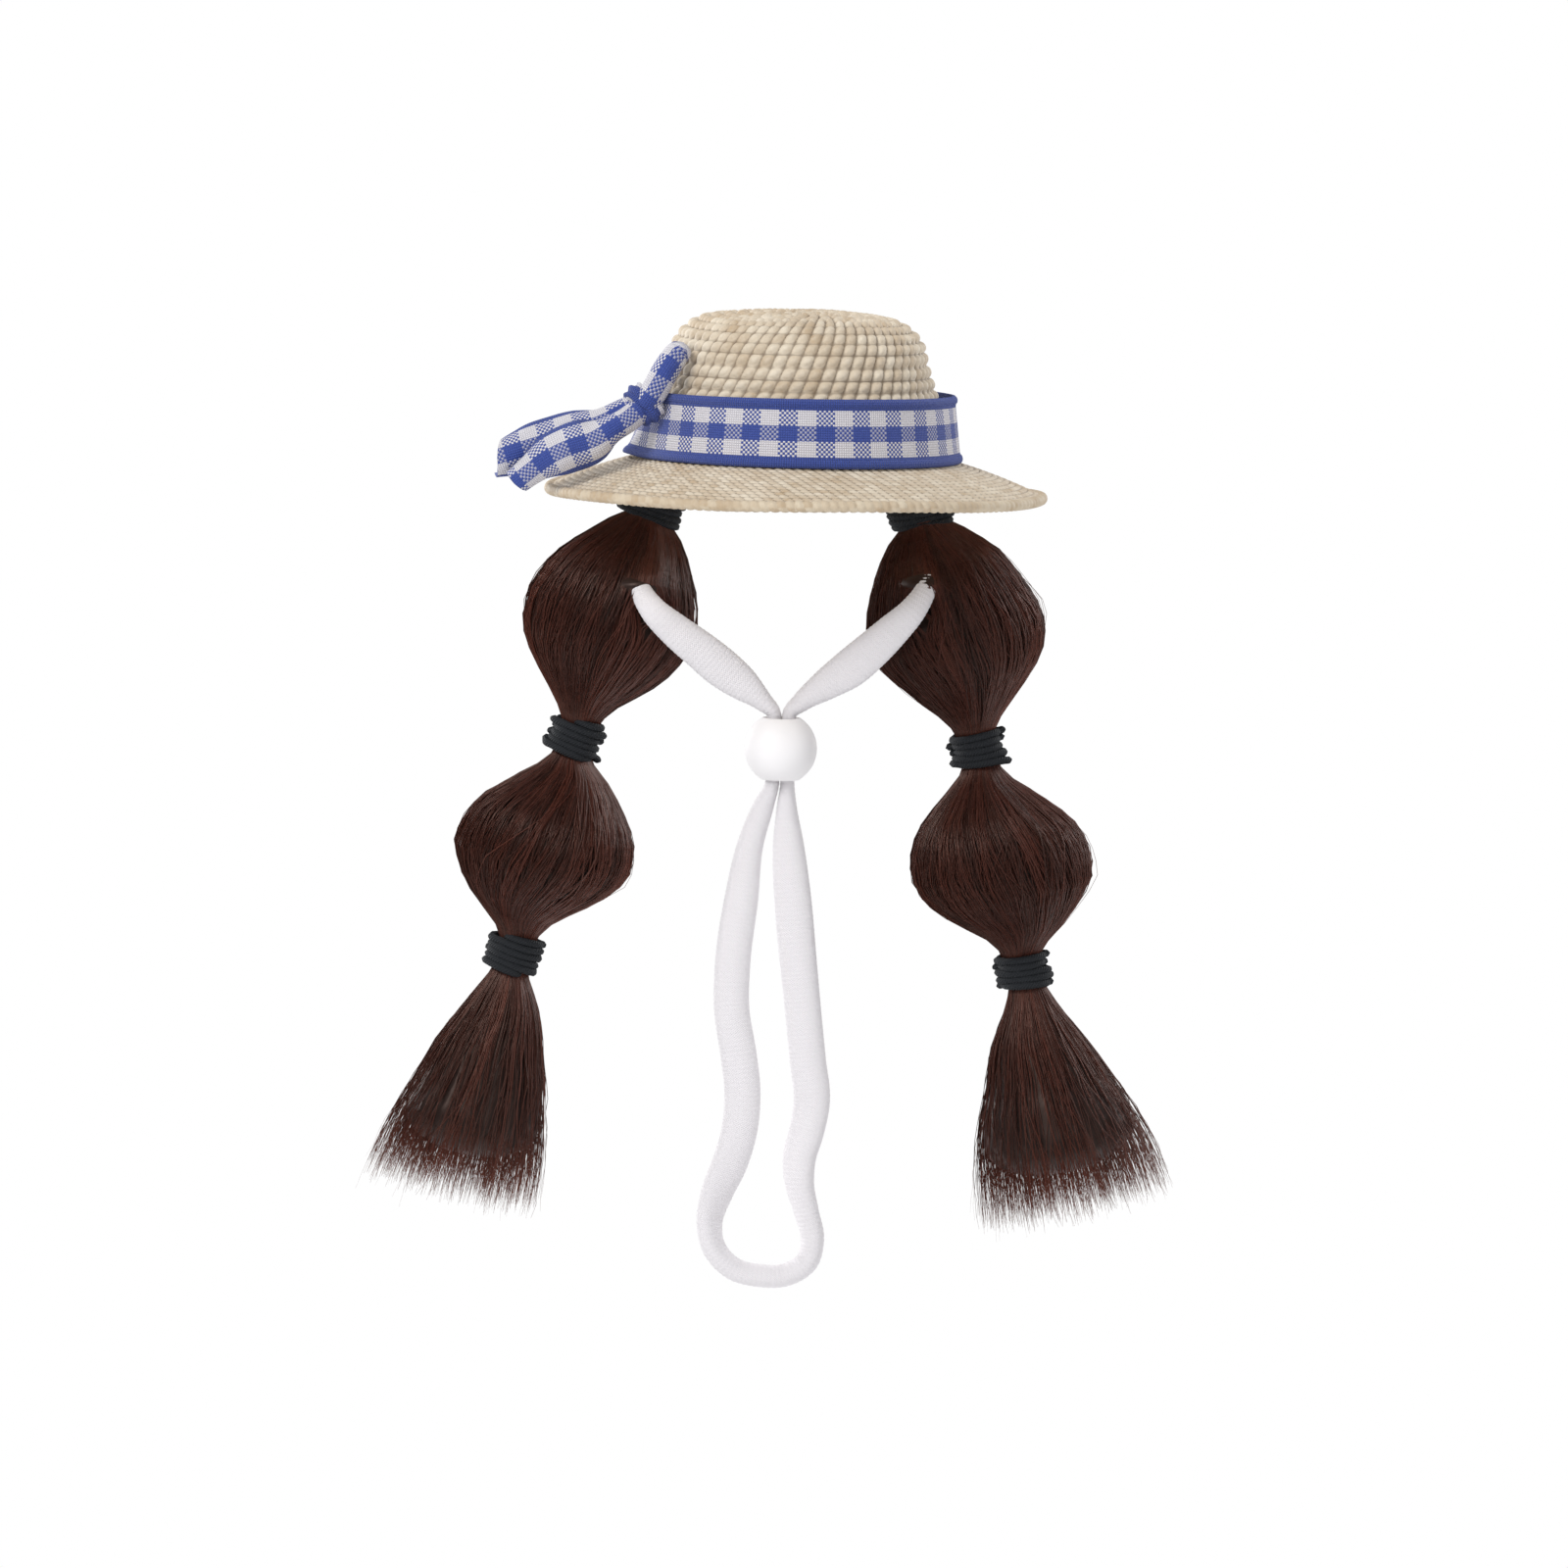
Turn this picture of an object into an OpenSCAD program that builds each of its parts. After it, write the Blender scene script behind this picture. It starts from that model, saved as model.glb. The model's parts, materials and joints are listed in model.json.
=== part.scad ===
// A small straw hat for a cat or small dog, with two bubble braids and a chin strap.
// Origin: centre of the head opening, at the crown's foot. +Z is up, and the front faces -Y.

/* [Crown] */
// Outer radius of the crown where it meets the brim
crown_foot_r = 38.2; // [36.5:0.1:46]
// How much smaller the crown's radius is where its shoulder starts
crown_taper = 7.6; // [4:0.1:9]
// Height of the crown's side, up to its shoulder
crown_side_h = 24; // [20:0.5:32]
// Height of the rounded shoulder
crown_shoulder_h = 10; // [6:0.5:14]
// How far the rounded shoulder reaches in from the side
crown_shoulder_w = 11.4; // [8:0.2:16]
// Rise of the slightly domed top
crown_dome_h = 1.3; // [0.5:0.1:4]
// Thickness of the woven straw
straw_wall = 1.8; // [1.2:0.1:2.4]

/* [Brim] */
// Outer radius of the brim, over its edge cord
brim_r = 60; // [50:0.5:75]
// Slope of the brim next to the crown
brim_slope = 0.27; // [0.1:0.01:0.5]
// How much more the brim droops towards its edge
brim_droop = 0.0042; // [0:0.0001:0.01]
// Radius of the cord that finishes the brim's edge
edge_cord_r = 1.3; // [0.8:0.1:1.8]
// Number of stitches that join the crown to the brim
seam_count = 40; // [16:1:60]

/* [Ribbon] */
// Width of the gingham ribbon
ribbon_w = 16; // [10:0.5:18]
// Thickness of the ribbon between its edges
ribbon_t = 0.7; // [0.4:0.1:1]
// Thickness of the corded edges
ribbon_edge_t = 1.1; // [0.6:0.1:1.5]
// Height of each corded edge
ribbon_edge_h = 2.6; // [1.5:0.1:3.5]
// How much further out the ribbon's lower edge stands than its upper edge
ribbon_lean = 2.2; // [0:0.1:2.6]
// Direction of the knot round the crown, in degrees from +X
knot_angle = 207; // [190:1:225]
// Height of the middle of the knot, as a share of the ribbon's width
knot_rise = 0.8; // [0.5:0.05:0.95]
// Half the height and half the width of the knot
knot_size = [4.2, 3.4]; // [2:0.1:6]

/* [Braids] */
// How far inside the crown's foot the left braid's first elastic hangs
left_root_inset = 3.8; // [3.2:0.1:6]
// How far inside the crown's foot the right braid's first elastic hangs
right_root_inset = 8.4; // [3.2:0.1:9]
// Depth of the first elastics below the crown's foot
root_drop = 12; // [10:0.5:16]
// Outward lean of the left braid's upper bubble, lower bubble and tail, in degrees
left_leans = [16.6, 14.5, 12]; // [0:0.1:25]
// Outward lean of the right braid's upper bubble, lower bubble and tail, in degrees
right_leans = [15.2, 13, 14.5]; // [0:0.1:25]
// Length from the first elastic to the second
upper_len = 58.2; // [50:0.1:72]
// Length from the second elastic to the third
lower_len = 54; // [45:0.5:66]
// Length of the loose tail below the third elastic
tail_len = 60; // [40:0.5:75]
// Widest radius of the upper bubble
upper_r = 19.6; // [14:0.1:21]
// Widest radius of the lower bubble
lower_r = 20.3; // [14:0.1:23]
// Widest radius of the tail
tail_r = 19.6; // [14:0.1:26]
// How slowly a bubble fills out from its elastics: less is rounder
bubble_curve = 0.75; // [0.6:0.05:1]

/* [Hair elastics] */
// Radius of the elastic cord
tie_cord_r = 1.0; // [0.8:0.05:1.2]
// Radius from the braid's axis to the middle of the cord
tie_wrap_r = 5.2; // [4.8:0.1:6.2]
// The same for the first elastic, which holds the strap as well as the hair
root_wrap_r = 6.6; // [6.4:0.1:7.5]
// Number of turns of an elastic between the bubbles
tie_turns = 5; // [4:1:6]
// Number of turns of the first elastic, under the hat
root_tie_turns = 4; // [3:1:5]

/* [Chin strap] */
// Outer diameter of the slide bead
bead_d = 17.2; // [15:0.1:22]
// Diameter of the hole through the bead
bead_bore = 7.5; // [7.3:0.1:9]

/* [Hidden] */

straw = "tan";
hair = "saddlebrown";
black = "#202428";
gingham = "royalblue";
white = "white";
thread = "ivory";

gap = 0.3;               // space between soft pieces that move past each other
fine = 96;               // facets of the round straw and bead
coarse = 32;             // facets of the hair, elastics and threads
crown_side_r = crown_foot_r - crown_taper;
left_root_x = crown_foot_r - left_root_inset;
right_root_x = crown_foot_r - right_root_inset;
knot_z = knot_rise * ribbon_w;
tie_pitch = 1.96 * tie_cord_r;
tie_inner_r = tie_wrap_r - tie_cord_r;
ball_r = tie_inner_r - gap;              // ball-shaped neck that turns inside an elastic
root_ball_r = 3.2;                       // the same in the first elastic, beside the strap
neck_r = 0.52 * tie_inner_r;             // thin neck that clears the elastic as the braid bends
shoulder_at = 1.46 * tie_wrap_r;         // first fullness of the hair below an elastic's middle
band_r = crown_foot_r + 0.1;             // inner radius of the ribbon band
thread_r = 0.35;
root_top = 10;                           // height of the sewn end of the hair above the crown's foot
root_r = 4.2;                            // radius of the gathered hair inside the opening
root_inset = 4.8;                        // gap from the crown's wall to the middle of the sewn end
bead_at = [-2, -15, -68];                // middle of the bead
channel_r = 3.2;                         // parting in the hair round the strap
drawn_r = 38.2;                          // radius of the crown that the strap's stations are drawn for

// The chin strap's stations: [x, y, z, width, thickness, turn of its width about its own line].
// Each is one end-to-end route, from the crown's wall, or from one side of the bead to the other.
left_drawn = [
    [-31, -10.3, 8, 7, 2, -71], [-32, -10.6, 3, 7, 2, -71], [-32.6, -9.6, -1.6, 6, 2, -60],
    [-33, -6.8, -5.2, 5, 1.8, -30], [-33.4, -4.5, -8.4, 4.6, 1.7, -5], [-34.5, -4.4, -12.2, 4.6, 1.7, 0],
    [-35.6, -4.4, -16.2, 4.6, 1.8, 0], [-36, -7.2, -20, 4.8, 2.4, 0], [-36, -13, -26.4, 4.8, 3.2, 0],
    [-36, -17.8, -31, 5, 3.4, 0], [-33, -20.8, -35.4, 6.4, 3.4, 0],
    [-27.6, -20.2, -40.2, 8, 3.4, 0], [-21.6, -18.8, -44.8, 9, 3.4, 0], [-16.4, -17.4, -49, 9.4, 3.4, 0],
    [-11.4, -16.2, -52.8, 8, 3.6, 0], [-6.6, -15.3, -56.8, 4.8, 4.2, 0], [-3.9, -15, -59.6, 3.4, 4.8, 0],
    [-3.7, -15, -62.4, 3.3, 4.9, 0], [-3.7, -15, -68, 3.3, 4.9, 0]
];
right_drawn = [
    [31, -10.3, 8, 7, 2, 71], [31.8, -10.6, 3, 7, 2, 71], [31, -9.6, -1.6, 6, 2, 60],
    [29.6, -6.8, -5.2, 5, 1.8, 30], [28.8, -4.5, -8.4, 4.6, 1.7, 5], [29.9, -4.4, -12.2, 4.6, 1.7, 0],
    [31, -4.4, -16.2, 4.6, 1.8, 0], [31.4, -7.2, -19.8, 4.8, 2.4, 0], [31.4, -12.8, -25, 4.8, 3.2, 0],
    [31.3, -17.6, -29, 5, 3.4, 0], [28.4, -20.8, -33.8, 6.4, 3.4, 0],
    [23.6, -20.2, -39, 8, 3.4, 0], [18.6, -18.8, -44, 9, 3.4, 0], [13.8, -17.4, -48.4, 9.2, 3.4, 0],
    [8.6, -16.2, -52.2, 7.6, 3.6, 0], [2.8, -15.3, -56.6, 4.8, 4.2, 0], [-0.1, -15, -59.6, 3.4, 4.8, 0],
    [-0.3, -15, -62.4, 3.3, 4.9, 0], [-0.3, -15, -68, 3.3, 4.9, 0]
];
loop_route = [
    [-3.7, -15, -68, 3.3, 4.9, 0], [-3.7, -15, -73, 3.3, 4.9, 0], [-3.9, -15, -76.8, 3.4, 4.8, 0],
    [-5.6, -15, -81.4, 4.8, 4.8, 0], [-8.6, -15, -91, 6.2, 4.8, 0], [-10.4, -15, -104, 8, 4.8, 0],
    [-12, -15, -118, 8.4, 5, 0], [-12, -15, -131, 8.4, 5, 0], [-10.2, -15, -141, 8.6, 5, 0],
    [-9, -15, -150, 8.6, 5, 0], [-9.4, -15, -159, 8.6, 5, 5], [-11.4, -15, -167, 8.6, 5, 15],
    [-14.4, -15, -174.6, 8.4, 5, 35], [-16, -15, -181.6, 7.8, 5.2, 60], [-14.8, -15, -187.8, 7.4, 5.4, 80],
    [-10.2, -15, -192.6, 7.4, 5.4, 90], [-3.6, -15, -194.2, 7.4, 5.4, 90], [2.6, -15, -193.8, 7.4, 5.4, 90],
    [7.4, -15, -190.6, 7.4, 5.4, 90], [8.6, -15, -185, 7.6, 5.4, 80], [7, -15, -178.6, 7.8, 5.2, 65],
    [5.2, -15, -172, 8, 5, 45], [5, -15, -165.6, 8.2, 5, 25], [6.6, -15, -159, 8.4, 5, 10],
    [7.6, -15, -152, 8.6, 5, 0], [6.4, -15, -142.4, 8.6, 5, 0], [5, -15, -131, 8.6, 5, 0],
    [3.4, -15, -118, 8.8, 5, 0], [1.8, -15, -104, 8.8, 4.8, 0], [0.4, -15, -91, 7.4, 4.8, 0],
    [-0.2, -15, -81.4, 4.6, 4.8, 0], [-0.2, -15, -76.8, 3.4, 4.8, 0], [-0.3, -15, -73, 3.3, 4.9, 0],
    [-0.3, -15, -68, 3.3, 4.9, 0]
];
// The runs' upper stations move out with the crown, the ones below it move with the braids,
// and the ones near the bead stay
function widened(rows) = [
    for (row = rows)
        let (
            share = min(1, max(0, (row[2] + 60) / 29)),
            out = (crown_foot_r - drawn_r) * share * unit([row[0], row[2] > -3 ? row[1] : 0])
        )
        [row[0] + out[0], row[1] + out[1], row[2], row[3], row[4], row[5]]
];
left_route = widened(left_drawn);
right_route = widened(right_drawn);

// The ribbon's loose parts, as stations of the same kind, from the middle of the knot.
loop_stations = [
    [1, -2.4, 1, 4.6, 4, 10], [2.2, -3.3, 3.2, 5.4, 4.6, 10], [4.6, -3, 7.5, 6, 4.8, 10],
    [6.5, -1.8, 10.4, 5.6, 4.4, 10], [7.7, -0.7, 12.2, 3.6, 2.8, 10]
];
front_tail_stations = [
    [-1.9, -2.8, -1.9, 4, 2, 0], [-6.7, -4.2, -5.1, 4.6, 2.6, 0], [-11.5, -4.8, -8, 7.6, 3, 0],
    [-17.7, -5, -10.3, 9, 3, 0], [-21.9, -4.8, -12.6, 7.6, 3, 0], [-25.8, -4.4, -15.4, 5.6, 2.6, 0],
    [-29.1, -4, -18.1, 4, 2, 0]
];
back_tail_stations = [
    [-2.4, -0.2, -0.4, 4, 2, 0], [-9.5, -0.4, -4.2, 5.4, 2.4, 0], [-15.5, -0.3, -6.5, 7.4, 2.4, 5],
    [-21.5, -0.1, -8.8, 8.4, 2.4, 8], [-27.5, 0.1, -11, 8.4, 2.2, 8], [-33.7, 0.3, -13.1, 6.6, 2, 8]
];

// ---------- helpers ----------

function unit(v) = v / norm(v);
function place(row) = [row[0], row[1], row[2]];
function heading(rows, i) =
    unit(place(rows[min(i + 1, len(rows) - 1)]) - place(rows[max(i - 1, 0)]));
// Direction of a strip's width: square to its line, and turned about it from the X-Z plane
function width_way(along, turn) =
    let (flat = unit(cross(along, [0, 1, 0])))
    flat * cos(turn) + cross(flat, along) * sin(turn);
function station_ring(rows, i, sides) =
    let (
        row = rows[i],
        along = heading(rows, i),
        wide = width_way(along, row[5]),
        thick = cross(along, wide)
    )
    [for (k = [0 : sides - 1])
        place(row) + wide * row[3] / 2 * cos(360 * k / sides) + thick * row[4] / 2 * sin(360 * k / sides)];

// A strip of flat oval section that follows its stations
module strip(rows, sides = 10) {
    last = len(rows) - 1;
    points = [for (i = [0 : last]) each station_ring(rows, i, sides)];
    walls = [for (i = [0 : last - 1], k = [0 : sides - 1])
        let (n = (k + 1) % sides)
        each [
            [i * sides + k, (i + 1) * sides + k, (i + 1) * sides + n],
            [i * sides + k, (i + 1) * sides + n, i * sides + n]
        ]];
    first_cap = [for (k = [0 : sides - 1]) k];
    last_cap = [for (k = [sides - 1 : -1 : 0]) last * sides + k];
    polyhedron(points = points, faces = concat(walls, [first_cap, last_cap]));
}

// A round rod from one point to another
module rod(from, to, r) {
    way = to - from;
    translate(from)
        rotate([0, acos(way[2] / norm(way)), atan2(way[1], way[0])])
            cylinder(r = r, h = norm(way), $fn = coarse);
}

// A level stitch of sewing thread that spans from one distance to another along +X
module stitch(near, far, z, r) {
    translate([(near + far) / 2, 0, z])
        rotate_extrude($fn = coarse)
            translate([(far - near) / 2, 0])
                circle(r = r, $fn = 16);
}

// ---------- straw ----------

// Half outline of the crown, inset by a wall, from its foot to the middle of its top
function crown_line(inset) = concat(
    [[crown_foot_r - inset, 0], [crown_side_r - inset, crown_side_h]],
    [for (a = [9 : 9 : 90])
        [crown_side_r - crown_shoulder_w + (crown_shoulder_w - inset) * cos(a),
         crown_side_h + (crown_shoulder_h - inset) * sin(a)]],
    [for (k = [1 : 6])
        let (share = 1 - k / 6)
        [(crown_side_r - crown_shoulder_w) * share,
         crown_side_h + crown_shoulder_h - inset + crown_dome_h * (1 - share * share)]]
);
function crown_outer_r(z) = crown_foot_r + (crown_side_r - crown_foot_r) * z / crown_side_h;
function brim_z(r) = -brim_slope * (r - crown_foot_r) - brim_droop * pow(r - crown_foot_r, 2);
function reversed(list) = [for (i = [len(list) - 1 : -1 : 0]) list[i]];

module crown() {
    color(straw)
        rotate_extrude($fn = fine)
            polygon(concat(crown_line(0), reversed(crown_line(straw_wall))));
}

brim_end_r = brim_r - 1.7 * edge_cord_r;
edge_cord_at = [brim_r - edge_cord_r, brim_z(brim_end_r) - straw_wall / 2];

module edge_ring(r) {
    rotate_extrude($fn = fine)
        translate(edge_cord_at)
            circle(r = r, $fn = coarse);
}

module brim() {
    steps = 8;
    inner_r = crown_foot_r - straw_wall;
    top = [for (k = [0 : steps])
        let (r = crown_foot_r + (brim_end_r - crown_foot_r) * k / steps)
        [r, brim_z(r)]];
    under = [for (k = [steps : -1 : 0])
        let (r = crown_foot_r + (brim_end_r - crown_foot_r) * k / steps)
        [r, brim_z(r) - straw_wall]];
    color(straw)
        difference() {
            rotate_extrude($fn = fine)
                polygon(concat([[inner_r, 0]], top, under, [[inner_r, -straw_wall]]));
            edge_ring(edge_cord_r + 0.02);
        }
}

module brim_edge() {
    color("burlywood") edge_ring(edge_cord_r);
}

module seam_stitches() {
    stitch_r = 0.64 * straw_wall;
    color(thread)
        for (k = [0 : seam_count - 1])
            rotate([0, 0, 360 * (k + 0.5) / seam_count])
                translate([crown_foot_r - 0.88 * straw_wall, 0, 0])
                    rotate([90, 0, 0])
                        rotate_extrude($fn = coarse)
                            translate([stitch_r, 0])
                                circle(r = 0.8 * thread_r, $fn = 16);
}

// ---------- ribbon ----------

module ribbon_band() {
    low = 0.15;
    high = low + ribbon_w;
    // A point of the band's section: distance out from its inner face, and height
    function at(out, z) = [band_r - ribbon_lean * (z - low) / ribbon_w + out, z];
    color(gingham)
        rotate_extrude($fn = fine)
            polygon([
                at(0, low), at(ribbon_edge_t, low), at(ribbon_edge_t, low + ribbon_edge_h),
                at(ribbon_t, low + ribbon_edge_h), at(ribbon_t, high - ribbon_edge_h),
                at(ribbon_edge_t, high - ribbon_edge_h), at(ribbon_edge_t, high), at(0, high)
            ]);
}

// Middle of the knot, just clear of the leaning band
knot_out = band_r - ribbon_lean * knot_z / ribbon_w + ribbon_t + gap + knot_size[1];
knot_at = [knot_out * cos(knot_angle), knot_out * sin(knot_angle), knot_z];

module ribbon_knot() {
    half_h = knot_size[0];
    half_w = knot_size[1];
    color(gingham)
        translate(knot_at)
            rotate([0, 0, knot_angle])
                rotate([35, 0, 0])
                    rotate_extrude($fn = coarse)
                        polygon([for (a = [-90 : 15 : 90]) [half_w * cos(a), half_h * sin(a)]]);
}

module ribbon_loop() { color(gingham) translate(knot_at) strip(loop_stations, 12); }

module ribbon_tail_front() { color(gingham) translate(knot_at) strip(front_tail_stations, 8); }

module ribbon_tail_back() { color(gingham) translate(knot_at) strip(back_tail_stations, 8); }

// ---------- braids ----------

// Side is -1 for the left braid and 1 for the right
function root_at(side) = [side * (side < 0 ? left_root_x : right_root_x), 0, -root_drop];
function down(side, lean) = [side * sin(lean), 0, -cos(lean)];
function lean_of(side, section) = side < 0 ? left_leans[section] : right_leans[section];
function upper_tie_at(side) = root_at(side) + upper_len * down(side, lean_of(side, 0));
function lower_tie_at(side) = upper_tie_at(side) + lower_len * down(side, lean_of(side, 1));

// Puts a shape that hangs from the origin down -Z where a section of the braid starts
module hang(at, side, lean) {
    translate(at) rotate([0, -side * lean, 0]) children();
}

// An elastic cord wound in turns, with its middle at the origin
module tie(turns, wrap_r) {
    color(black)
        for (k = [0 : turns - 1])
            translate([0, 0, (k - (turns - 1) / 2) * tie_pitch])
                rotate_extrude($fn = coarse)
                    translate([wrap_r, 0])
                        circle(r = tie_cord_r, $fn = coarse);
}

// Half outline of a bubble, from the thin neck under one elastic to a cup inside the next, where
// the ball of the section below turns
function bubble_line(length, full) =
    let (
        steps = 16,
        start = shoulder_at,
        finish = length - tie_pitch * tie_turns / 2 - gap,
        close = tie_inner_r - gap
    )
    concat(
        [[0, 0], [neck_r, 0], [neck_r, start]],
        [for (k = [1 : steps])
            let (share = k / steps, thin = neck_r + (close - neck_r) * share)
            [thin + (full - thin) * pow(sin(180 * share), bubble_curve), start + share * (finish - start)]],
        [[close, length - tie_inner_r * cos(50)]],
        [for (a = [50 : -10 : 0]) [tie_inner_r * sin(a), length - tie_inner_r * cos(a)]]
    );

module hair_section(outline, ball = ball_r) {
    color(hair) {
        rotate([180, 0, 0])
            rotate_extrude($fn = coarse)
                polygon(outline);
        sphere(r = ball, $fn = coarse);
    }
}

module upper_bubble(side, route) {
    color(hair)
        difference() {
            hang(root_at(side), side, lean_of(side, 0))
                hair_section(bubble_line(upper_len, upper_r), root_ball_r);
            for (i = [7 : 10]) {
                rod(place(route[i]), place(route[i + 1]), channel_r);
                translate(place(route[i])) sphere(r = 1.12 * channel_r, $fn = coarse);
            }
        }
}

module lower_bubble(side) {
    hang(upper_tie_at(side), side, lean_of(side, 1))
        hair_section(bubble_line(lower_len, lower_r));
}

module tail(side) {
    steps = 10;
    full_at = 0.8 * tail_len;
    cone = [for (k = [0 : steps])
        let (share = k / steps)
        [neck_r + 2 + (tail_r - neck_r - 2) * pow(share, 0.8), shoulder_at + 0.3 + share * (full_at - shoulder_at)]];
    dome = [for (a = [15 : 15 : 90])
        [tail_r * cos(a), full_at + 0.3 + (tail_len - full_at) * sin(a)]];
    hang(lower_tie_at(side), side, lean_of(side, 2))
        hair_section(concat([[0, 0], [neck_r, 0], [neck_r, shoulder_at]], cone, dome));
}

// The sewn end of the hair, inside the crown: from the wall to the first elastic
function sewn_end(side) = [side * (crown_outer_r(root_top) - straw_wall - root_inset), 0, root_top];

module hair_root(side) {
    from = root_at(side);
    to = sewn_end(side);
    length = norm(to - from);
    tip = root_ball_r + gap;
    color(hair)
        translate(from)
            rotate([0, atan2((to - from)[0], (to - from)[2]), 0])
                rotate_extrude($fn = coarse)
                    polygon([
                        [0, tip], [0.8 * neck_r, tip + 0.2], [neck_r, shoulder_at - 0.6], [root_r, shoulder_at + 1],
                        [root_r, length - 3], [root_r - 1, length], [0, length]
                    ]);
}

// Threads that go round the sewn end of the hair and through the crown's wall
module braid_stitches() {
    color(thread)
        for (side = [-1, 1], z = [3.4, 6.6])
            let (
                from = root_at(side),
                to = sewn_end(side),
                middle = abs(from[0] + (to[0] - from[0]) * (z - from[2]) / (to[2] - from[2]))
            )
            rotate([0, 0, side < 0 ? 180 : 0])
                stitch(middle - root_r - 3 * thread_r, crown_outer_r(z) + 0.4 * thread_r, z, thread_r);
}

// ---------- chin strap ----------

module strap_left() { color(white) strip(left_route); }

module strap_right() { color(white) strip(right_route); }

module strap_loop() { color(white) strip(loop_route); }

// Threads that fasten each end of the strap to the crown's wall
module strap_stitches() {
    color(thread)
        for (route = [left_route, right_route], z = [3.6, 6.2])
            let (end = place(route[1]))
            rotate([0, 0, atan2(end[1], end[0])])
                stitch(norm([end[0], end[1]]) - 1.4, crown_outer_r(z) + 0.4 * thread_r, z, thread_r);
}

module bead() {
    color(white)
        translate(bead_at)
            difference() {
                sphere(d = bead_d, $fn = fine);
                cylinder(d = bead_bore, h = bead_d, center = true, $fn = fine);
            }
}

// ---------- the parts ----------

crown();
brim();
brim_edge();
seam_stitches();
ribbon_band();
ribbon_knot();
ribbon_loop();
ribbon_tail_front();
ribbon_tail_back();
braid_stitches();
strap_stitches();
hair_root(-1);  // left_hair_root
hang(root_at(-1), -1, lean_of(-1, 0)) tie(root_tie_turns, root_wrap_r);  // left_root_tie
upper_bubble(-1, left_route);  // left_upper_bubble
hang(upper_tie_at(-1), -1, lean_of(-1, 0)) tie(tie_turns, tie_wrap_r);  // left_upper_tie
lower_bubble(-1);  // left_lower_bubble
hang(lower_tie_at(-1), -1, lean_of(-1, 1)) tie(tie_turns, tie_wrap_r);  // left_lower_tie
tail(-1);  // left_tail
hair_root(1);  // right_hair_root
hang(root_at(1), 1, lean_of(1, 0)) tie(root_tie_turns, root_wrap_r);  // right_root_tie
upper_bubble(1, right_route);  // right_upper_bubble
hang(upper_tie_at(1), 1, lean_of(1, 0)) tie(tie_turns, tie_wrap_r);  // right_upper_tie
lower_bubble(1);  // right_lower_bubble
hang(lower_tie_at(1), 1, lean_of(1, 1)) tie(tie_turns, tie_wrap_r);  // right_lower_tie
tail(1);  // right_tail
strap_left();
strap_right();
strap_loop();
bead();
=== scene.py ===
# %% [markdown]
# # A straw hat with bubble braids
# This lesson builds a small costume hat in Blender: woven straw, a gingham ribbon, two braids of
# loose hair and a soft elastic chin strap. A CAD model with the right sizes is already there, as a
# frame. Each cell below makes one piece over that frame, and says why it was made that way.
# Every shape is worked out with numpy, as a whole grid of points at once.

import json
import math

import bpy
import numpy as np
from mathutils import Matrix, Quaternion, Vector

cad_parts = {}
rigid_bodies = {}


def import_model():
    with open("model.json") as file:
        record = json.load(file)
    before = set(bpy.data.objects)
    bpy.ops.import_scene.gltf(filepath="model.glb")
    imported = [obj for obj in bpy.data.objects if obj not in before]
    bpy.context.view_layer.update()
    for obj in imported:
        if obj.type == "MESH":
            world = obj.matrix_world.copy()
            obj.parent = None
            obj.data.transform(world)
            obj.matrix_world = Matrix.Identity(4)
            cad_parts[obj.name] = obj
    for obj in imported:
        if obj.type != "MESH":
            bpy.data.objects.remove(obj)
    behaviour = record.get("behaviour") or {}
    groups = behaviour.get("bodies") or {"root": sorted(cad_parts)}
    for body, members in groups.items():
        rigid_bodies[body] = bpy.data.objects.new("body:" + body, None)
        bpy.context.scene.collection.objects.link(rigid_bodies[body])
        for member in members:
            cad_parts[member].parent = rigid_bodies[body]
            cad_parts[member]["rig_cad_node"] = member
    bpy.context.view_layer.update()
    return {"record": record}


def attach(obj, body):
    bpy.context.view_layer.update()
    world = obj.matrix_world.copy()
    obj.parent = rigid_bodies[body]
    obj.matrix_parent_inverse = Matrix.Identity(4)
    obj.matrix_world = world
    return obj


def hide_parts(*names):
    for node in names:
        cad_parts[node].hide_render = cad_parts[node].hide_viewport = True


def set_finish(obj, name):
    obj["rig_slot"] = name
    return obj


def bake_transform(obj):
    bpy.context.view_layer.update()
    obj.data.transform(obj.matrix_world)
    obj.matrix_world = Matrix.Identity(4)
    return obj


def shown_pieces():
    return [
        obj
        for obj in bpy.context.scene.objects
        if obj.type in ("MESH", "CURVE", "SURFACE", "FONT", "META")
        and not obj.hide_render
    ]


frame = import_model()
MM = 0.001

# %% [markdown]
# ## Camera
# A small thing looks true when it is seen from far away through a long lens, because near and far
# parts then have almost the same scale. The camera stands 2.6 m off, a little above the hat, and
# leans 1.5 degrees, as the hat itself hangs a little askew.

# %% Camera
aim = Vector((-0.0010, 0.0, -0.0778))
SENSOR, VIEW_WIDTH = 36, 374.4 * MM
distance, height_angle, lean = 2.6, math.radians(5.2), math.radians(1.5)
view_way = Vector((0, -math.cos(height_angle), math.sin(height_angle)))
camera = bpy.data.objects.new("camera", bpy.data.cameras.new("camera"))
camera.data.sensor_width = SENSOR
camera.data.lens = SENSOR * distance / VIEW_WIDTH
camera.data.clip_start, camera.data.clip_end = 0.1, 30
camera.location = aim + view_way * distance
camera.rotation_mode = "QUATERNION"
camera.rotation_quaternion = (-view_way).to_track_quat("-Z", "Y") @ Quaternion((0, 0, 1), lean)
bpy.context.collection.objects.link(camera)
bpy.context.scene.camera = camera
print("lens", round(camera.data.lens), "mm")

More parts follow.
